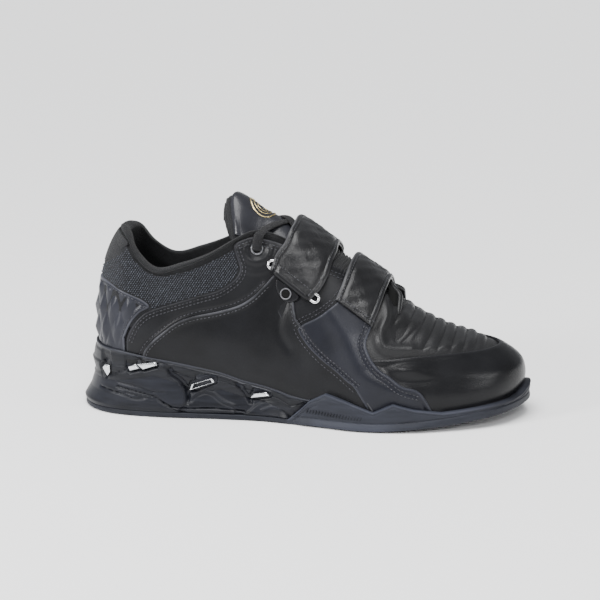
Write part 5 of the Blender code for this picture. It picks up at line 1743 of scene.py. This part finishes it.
def cradle():
    """Moulded band round the heel and arch, up to the lip that holds the upper."""
    share, side = back_columns(900, CRADLE_FRONT)
    ones = np.ones(len(share))
    low = np.maximum(block_top(share), wing_top(share)) + 0.0001
    top = cradle_top(share)
    knee = low + KNEE_AT * (top - low)
    inner = path_at_height(share, side, top)
    out = push(share, side)
    outer = inner + out * (CRADLE_LIP + 0.0004)
    knots = [(low, BLOCK_EDGE[0] * ones, BLOCK_EDGE[1] * ones),
             (knee, CRADLE_KNEE[0] * ones, CRADLE_KNEE[1] * ones)]
    rings = band_rings(share, side, blend_rows(knots, 8))
    start = rings[-1]
    fade = outer - start
    for f in np.linspace(0.0, 1.0, 14)[1:]:
        place = start + fade * f
        place[:, 2] = knee + (top - LIP_ROUND - knee) * f
        bulge = 0.0004 * math.sin(math.pi * f)
        lip_line = 0.0007 * math.exp(-((f - 0.80) / 0.06) ** 2)
        relief = sole_relief(place[:, 0], place[:, 2]) * (1.0 - f) ** 0.5 if f < 1.0 else 0.0
        place += out * np.broadcast_to(bulge - lip_line + relief, (len(share),))[:, None]
        rings.append(place)
    for turn in np.radians((30, 60, 90)):
        place = outer - out * (LIP_ROUND * (1 - math.cos(turn)))
        place[:, 2] = top - LIP_ROUND + LIP_ROUND * math.sin(turn)
        rings.append(place)
    last = inner + out * 0.0001
    last[:, 2] = top - 0.0004
    foot = path_at_height(share, side, low) + out * (2 * GAP)
    foot[:, 2] = low
    rings += [last, foot]
    count = len(share)
    faces = ring_quads(len(rings), count, closed=False, wrap=True) + strip_ends(len(rings), count)
    piece = merged(new_object("cradle", np.concatenate(rings), faces, PAINT["cradle"], 70))
    x, _, z = places_of(piece).T
    # Rim mark: painted highlight line just under the top edge.
    under = cradle_top(np.clip(x / SHOE_LENGTH + 0.5, 0.0, 1.0)) - z
    mark(piece, "rim", 0.55 * np.exp(-((under - 0.0008) / 0.0008) ** 2))
    done(piece, "cradle", slot="sole_plastic")


GROOVES = (0.08, 0.13, 0.18, 0.23, 0.60, 0.64, 0.68, 0.72, 0.76, 0.80, 0.84)


def wing_relief(x, z, share):
    """Fine moulded lines on the forefoot wall, a framed band and a raised middle."""
    low = spring(share)
    up = z - low
    tall = np.maximum(wing_top(share) - low, 0.001)
    slant = curve_through(((-0.004, 0.004), (0.003, 0.0105), (0.012, 0.0165))) + (0.004, -0.001)
    height = trench(x, z, slant, 0.0006, 0.0006)
    height += -0.0006 * np.exp(-((up - 0.0056) / 0.0005) ** 2)
    height += 0.0011 * smooth(0.0054, 0.0018, up) * smooth(0.008, 0.014, tall)
    height += -0.0005 * np.exp(-((tall - up - 0.0018) / 0.0006) ** 2) * (tall > 0.008)
    peak = np.maximum(blob(x, z, (0.021, 0.017), (0.013, 0.008), 1.0),
                      blob(x, z, (0.066, 0.014), (0.010, 0.006), 1.0))
    height += 0.0010 * peak
    return height


def outsole():
    """Thin rubber sole with a forefoot wall of two peaks, and a grooved tread."""
    share, side = columns(900)
    low = spring(share)
    top = wing_top(share)
    rise = top - low - OUTSOLE
    out = push(share, side)
    ones = np.ones(len(share))
    rings = [rim(share, side, 0.002, 0.0012, 0.0014, low),
             rim(share, side, 0.0010, 0.0004, 0.0005, low + 0.0004)]
    start = low + 0.0011
    steps = 24
    for k in range(steps + 1):
        f = k / steps
        z = start + (top - 0.0004 - start) * f
        heel = 0.0004 + 0.0002 * f
        flank = (0.0004 + 0.04 * rise) * f
        place = rim(share, side, heel, flank, -0.0011 * f, z)
        place += out * (wing_relief(place[:, 0], z, share) * np.clip(rise / 0.003, 0.0, 1.0))[:, None]
        rings.append(place)
    rings.append(rim(share, side, 0.0009, 0.0008 + 0.04 * rise, -0.0008, top))
    wall = np.clip(rise / 0.0008, 0.0, 1.0)[:, None]
    inner = path_at_height(share, side, top) + out * GAP
    inner[:, 2] = top
    foot = feather(share, side) + out * (2 * GAP)
    foot[:, 2] = low + OUTSOLE
    flat_inner = rim(share, side, 0.003, 0.0026, 0.0026, low + OUTSOLE)
    flat_foot = rim(share, side, 0.006, FEATHER_FLANK, FEATHER_TOE, low + OUTSOLE)
    rings.append(inner * wall + flat_inner * (1 - wall))
    rings.append(foot * wall + flat_foot * (1 - wall))
    count = len(share)
    points = list(np.concatenate(rings))
    faces = ring_quads(len(rings), count)
    half = count // 2

    def cap(ring, base, across, under):
        """Closes a ring by rows across it, with the tread's grooves if it lies under the sole."""
        table = {}
        for k in range(half + 1):
            a, b = ring[k], ring[(count - k) % count]
            for j in range(across + 1):
                if j == 0:
                    table[k, j] = base + k
                elif j == across:
                    table[k, j] = base + (count - k) % count
                else:
                    t = j / across
                    place = a * (1 - t) + b * t
                    if under:
                        place = place + (0.0, 0.0, tread(place, a, b))
                    table[k, j] = len(points)
                    points.append(place)
        for k in range(half):
            for j in range(across):
                quad = (table[k, j], table[k, j + 1], table[k + 1, j + 1], table[k + 1, j])
                faces.append(quad)

    cap(rings[0], 0, 36, True)
    cap(rings[-1], (len(rings) - 1) * count, 2, False)
    clean = [tuple(dict.fromkeys(face)) for face in faces]
    clean = [face for face in clean if len(face) > 2]
    piece = merged(new_object("outsole", np.array(points), clean, PAINT["rubber"], 60))
    # Rim mark: painted highlight along the top of the forefoot wall, a lighter band near its foot, and the
    # whole wall a little lighter.
    x, _, z = places_of(piece).T
    at = np.clip(x / SHOE_LENGTH + 0.5, 0.0, 1.0)
    line = np.exp(-((wing_top(at) - z - 0.0005) / 0.0007) ** 2)
    band = smooth(0.0065, 0.0050, z - spring(at)) * smooth(0.52, 0.56, at) * smooth(0.76, 0.68, at)
    wing = smooth(0.480, 0.490, at) * smooth(0.97, 0.86, at)
    mark(piece, "rim", np.maximum(0.45 * line + 0.06, 0.35 * band) * wing + 0.08 * wing)
    done(piece, "outsole", slot="rubber")


def tread(place, a, b):
    """Depth of the cross grooves and of the fine ribs at a place under the sole."""
    edge_room = min(place[1] - min(a[1], b[1]), max(a[1], b[1]) - place[1])
    if edge_room < 0.010:
        return 0.0
    depth = 0.0
    for share in GROOVES:
        depth = max(depth, 0.0014 * math.exp(-((place[0] - (share - 0.5) * SHOE_LENGTH) / 0.0013) ** 4))
    return depth


def footbed():
    """Insole cloth lying inside, and the platform under it."""
    share, side = columns(240)
    out = push(share, side)
    low = bed(share) + GAP
    edge_line = feather(share, side) - out * (UPPER_WALL + 2 * GAP)
    rings = []
    for inset, rise in ((0.0, 0.0), (0.0, 0.0022), (0.0006, 0.0028), (0.0020, INSOLE),
                        (0.008, INSOLE - 0.0006), (0.016, INSOLE - 0.0012)):
        place = edge_line - out * inset
        place[:, 2] = low + rise
        rings.append(place)
    count = len(share)
    faces = ring_quads(len(rings), count)
    half = count // 2
    for base in (0, (len(rings) - 1) * count):
        for k in range(half):
            quad = tuple(dict.fromkeys((base + k, base + k + 1, base + (count - k - 1) % count,
                                        base + (count - k) % count)))
            if len(quad) > 2:
                faces.append(quad)
    piece = merged(new_object("insole", np.concatenate(rings), faces, PAINT["sock"], 60))
    done(piece, "insole", slot="lining")
    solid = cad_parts["midsole"]
    solid.material_slots[0].material = PAINT["cradle"]


def sole_side(share, z, side):
    """Place on the sole's side face behind the forefoot wall."""
    top = cradle_top(share)
    wave = block_top(share)
    bottom = OUTSOLE + GAP
    levels = [bottom, bottom + FLARE_AT * (wave - bottom), bottom + WAIST_AT * (wave - bottom), wave,
              wave + KNEE_AT * (top - wave), top]
    insets = (BLOCK_FOOT, BLOCK_FLARE, BLOCK_WAIST, BLOCK_EDGE, CRADLE_KNEE, CRADLE_EDGE)
    heel = np.interp(z, levels, [i[0] for i in insets])
    flank = np.interp(z, levels, [i[1] for i in insets])
    return rim(share, side, heel, flank, flank, z), push(share, side)


def insert_plate(name, corners, side, hollow, node):
    """Faceted bright plate with a bevelled face, or a bevelled frame if hollow."""
    c = np.array(sized(corners))
    middle = c.mean(axis=0)
    rings = []
    if hollow:
        plan_rings = ((1.10, -0.0012), (1.10, 0.0002), (1.00, 0.0007), (0.78, 0.0007),
                      (0.70, 0.0002), (0.70, -0.0012))
    else:
        plan_rings = ((1.08, -0.0012), (1.08, 0.0001), (0.86, 0.0007))
    for grow, height in plan_rings:
        ring = []
        for corner in c:
            away = corner - middle
            place = middle + away * grow
            if hollow:
                place = corner - away / np.linalg.norm(away) * (1.0 - grow) * FRAME_WIDE
            at, out = sole_side(np.float64(place[0] / SHOE_LENGTH + 0.5), place[1], side)
            ring.append(at + out * height)
        rings.append(np.array(ring))
    n = len(c)
    faces = ring_quads(len(rings), n, wrap=hollow)
    if not hollow:
        faces += tube_ends(len(rings), n)[::-1]
    piece = new_object(name, np.concatenate(rings), faces, PAINT["silver"])
    work = bmesh.new()
    work.from_mesh(piece.data)
    bmesh.ops.recalc_face_normals(work, faces=work.faces)
    bmesh.ops.bevel(work, geom=list(work.edges), offset=BEVEL, segments=2, profile=0.5,
                    affect="EDGES")
    work.to_mesh(piece.data)
    work.free()
    piece.data.shade_smooth()
    piece.data.set_sharp_from_angle(angle=math.radians(25))
    done(piece, node, slot="bright_insert")


def inserts():
    """Five bright inserts on each side; the middle one is an open frame."""
    for word, side in BOTH_SIDES:
        for name, corners in INSERTS.items():
            node = name + "_" + word
            insert_plate(node, corners, side, name == "insert_middle", node)


def wall_ribs():
    """Row of short plain ribs on the forefoot wall, on both sides."""
    places = []
    ups = []
    ways = []
    for side in (LATERAL, MEDIAL):
        for k in range(19):
            f = k / 18.0
            x = 0.0090 + 0.0360 * f
            z = 0.0105 - 0.0020 * f
            share = np.float64(x / SHOE_LENGTH + 0.5)
            place = rim(share, side, 0.0, 0.0008, 0.0, z)
            out = push(share, side)
            places.append(place + out * (0.0002 + 0.0009 * math.exp(-((x - 0.021) / 0.013) ** 2)))
            ups.append(out)
            ways.append((0.35, 0.0, 1.0))
    return done(spread_shapes("wall_ribs", [(np.array(places), np.array(ups))], NUBS,
                              {"Pitch": 0.0, "Long": 0.0036, "Wide": 0.0009, "Tall": 0.0011, "Uneven": 0.0},
                              PAINT["rubber"], np.array(ways)), slot="rubber")


# Room, light and camera

CAMERA_AZIMUTH = 8.0
CAMERA_ELEVATION = 13.0
CAMERA_DISTANCE = 1.1
CAMERA_LENS = 97.86
CAMERA_TARGET = (0.0042, 0.0, 0.062)
FRAME_SIZE = 600.0
TARGET_PIXEL = (310.0, 317.2)


def camera():
    data = bpy.data.cameras.new("camera")
    data.lens = CAMERA_LENS
    data.sensor_width = 36.0
    data.shift_x = (FRAME_SIZE / 2 - TARGET_PIXEL[0]) / FRAME_SIZE
    data.shift_y = (TARGET_PIXEL[1] - FRAME_SIZE / 2) / FRAME_SIZE
    data.clip_start = 0.05
    data.clip_end = 80.0
    eye = bpy.data.objects.new("camera", data)
    bpy.context.scene.collection.objects.link(eye)
    a, e = math.radians(CAMERA_AZIMUTH), math.radians(CAMERA_ELEVATION)
    back = Vector((math.sin(a) * math.cos(e), -math.cos(a) * math.cos(e), math.sin(e)))
    eye.location = Vector(CAMERA_TARGET) + back * CAMERA_DISTANCE
    eye.rotation_euler = back.to_track_quat("Z", "Y").to_euler()
    bpy.context.scene.camera = eye


def hang_lamp(name, kind, power, place, back):
    """Lamp at a place, shining away from its back direction."""
    data = bpy.data.lights.new(name, kind)
    data.energy = power
    lamp = bpy.data.objects.new(name, data)
    bpy.context.scene.collection.objects.link(lamp)
    lamp.location = place
    lamp.rotation_euler = back.to_track_quat("Z", "Y").to_euler()
    return data


def area_light(name, place, target, size, power):
    data = hang_lamp(name, "AREA", power, place, Vector(place) - Vector(target))
    data.shape = "RECTANGLE"
    data.size, data.size_y = size


def sun_light(name, direction, power, spread):
    data = hang_lamp(name, "SUN", power, (0.0, 0.0, 0.0), Vector(direction))
    data.angle = math.radians(spread)


def studio():
    """Pale floor, dim surroundings and broad soft light from above, with a low lamp at each end."""
    material, tree, shader = start_material("pale_floor", 0.9, Specular_IOR_Level=0.1)
    shader.inputs["Base Color"].default_value = (0.95, 0.95, 0.95, 1.0)
    size = 40.0
    floor = new_object("floor", np.array([(-size, -size, -0.0002), (size, -size, -0.0002),
                                          (size, size, -0.0002), (-size, size, -0.0002)]),
                       [(0, 1, 2, 3)], material)
    world = bpy.data.worlds.new("studio")
    bpy.context.scene.world = world
    world.use_nodes = True
    sky = world.node_tree.nodes["Background"]
    sky.inputs["Color"].default_value = (0.95, 0.97, 1.0, 1.0)
    sky.inputs["Strength"].default_value = 0.42
    sun_light("overhead", (-0.1, -0.25, 1.0), 4.9, 50.0)
    area_light("front_lamp", (0.35, -1.2, 0.75), (0.0, 0.0, 0.05), (0.25, 0.25), 6.5)
    area_light("heel_lamp", (-0.8, -0.7, 0.50), (-0.05, 0.0, 0.06), (0.20, 0.30), 9.0)
    area_light("toe_lamp", (0.95, -0.42, 0.34), (0.10, 0.0, 0.04), (0.3, 0.12), 2.0)


camera()
studio()
collar_lining()
mesh_piece = done(collar_mesh(), "upper", slot="mesh_fabric")
heel_tab()
done(collar_nubs(tree_of([mesh_piece])), slot="mesh_fabric")
vamp()
panel_pieces = leather_panels()
seam_stitches(tree_of(panel_pieces))
tongue_front = tongue()
tongue_badge(tree_of([tongue_front]))
straps_and_fittings(panel_pieces, tongue_front)
outsole()
heel_block()
cradle()
footbed()
inserts()
wall_ribs()
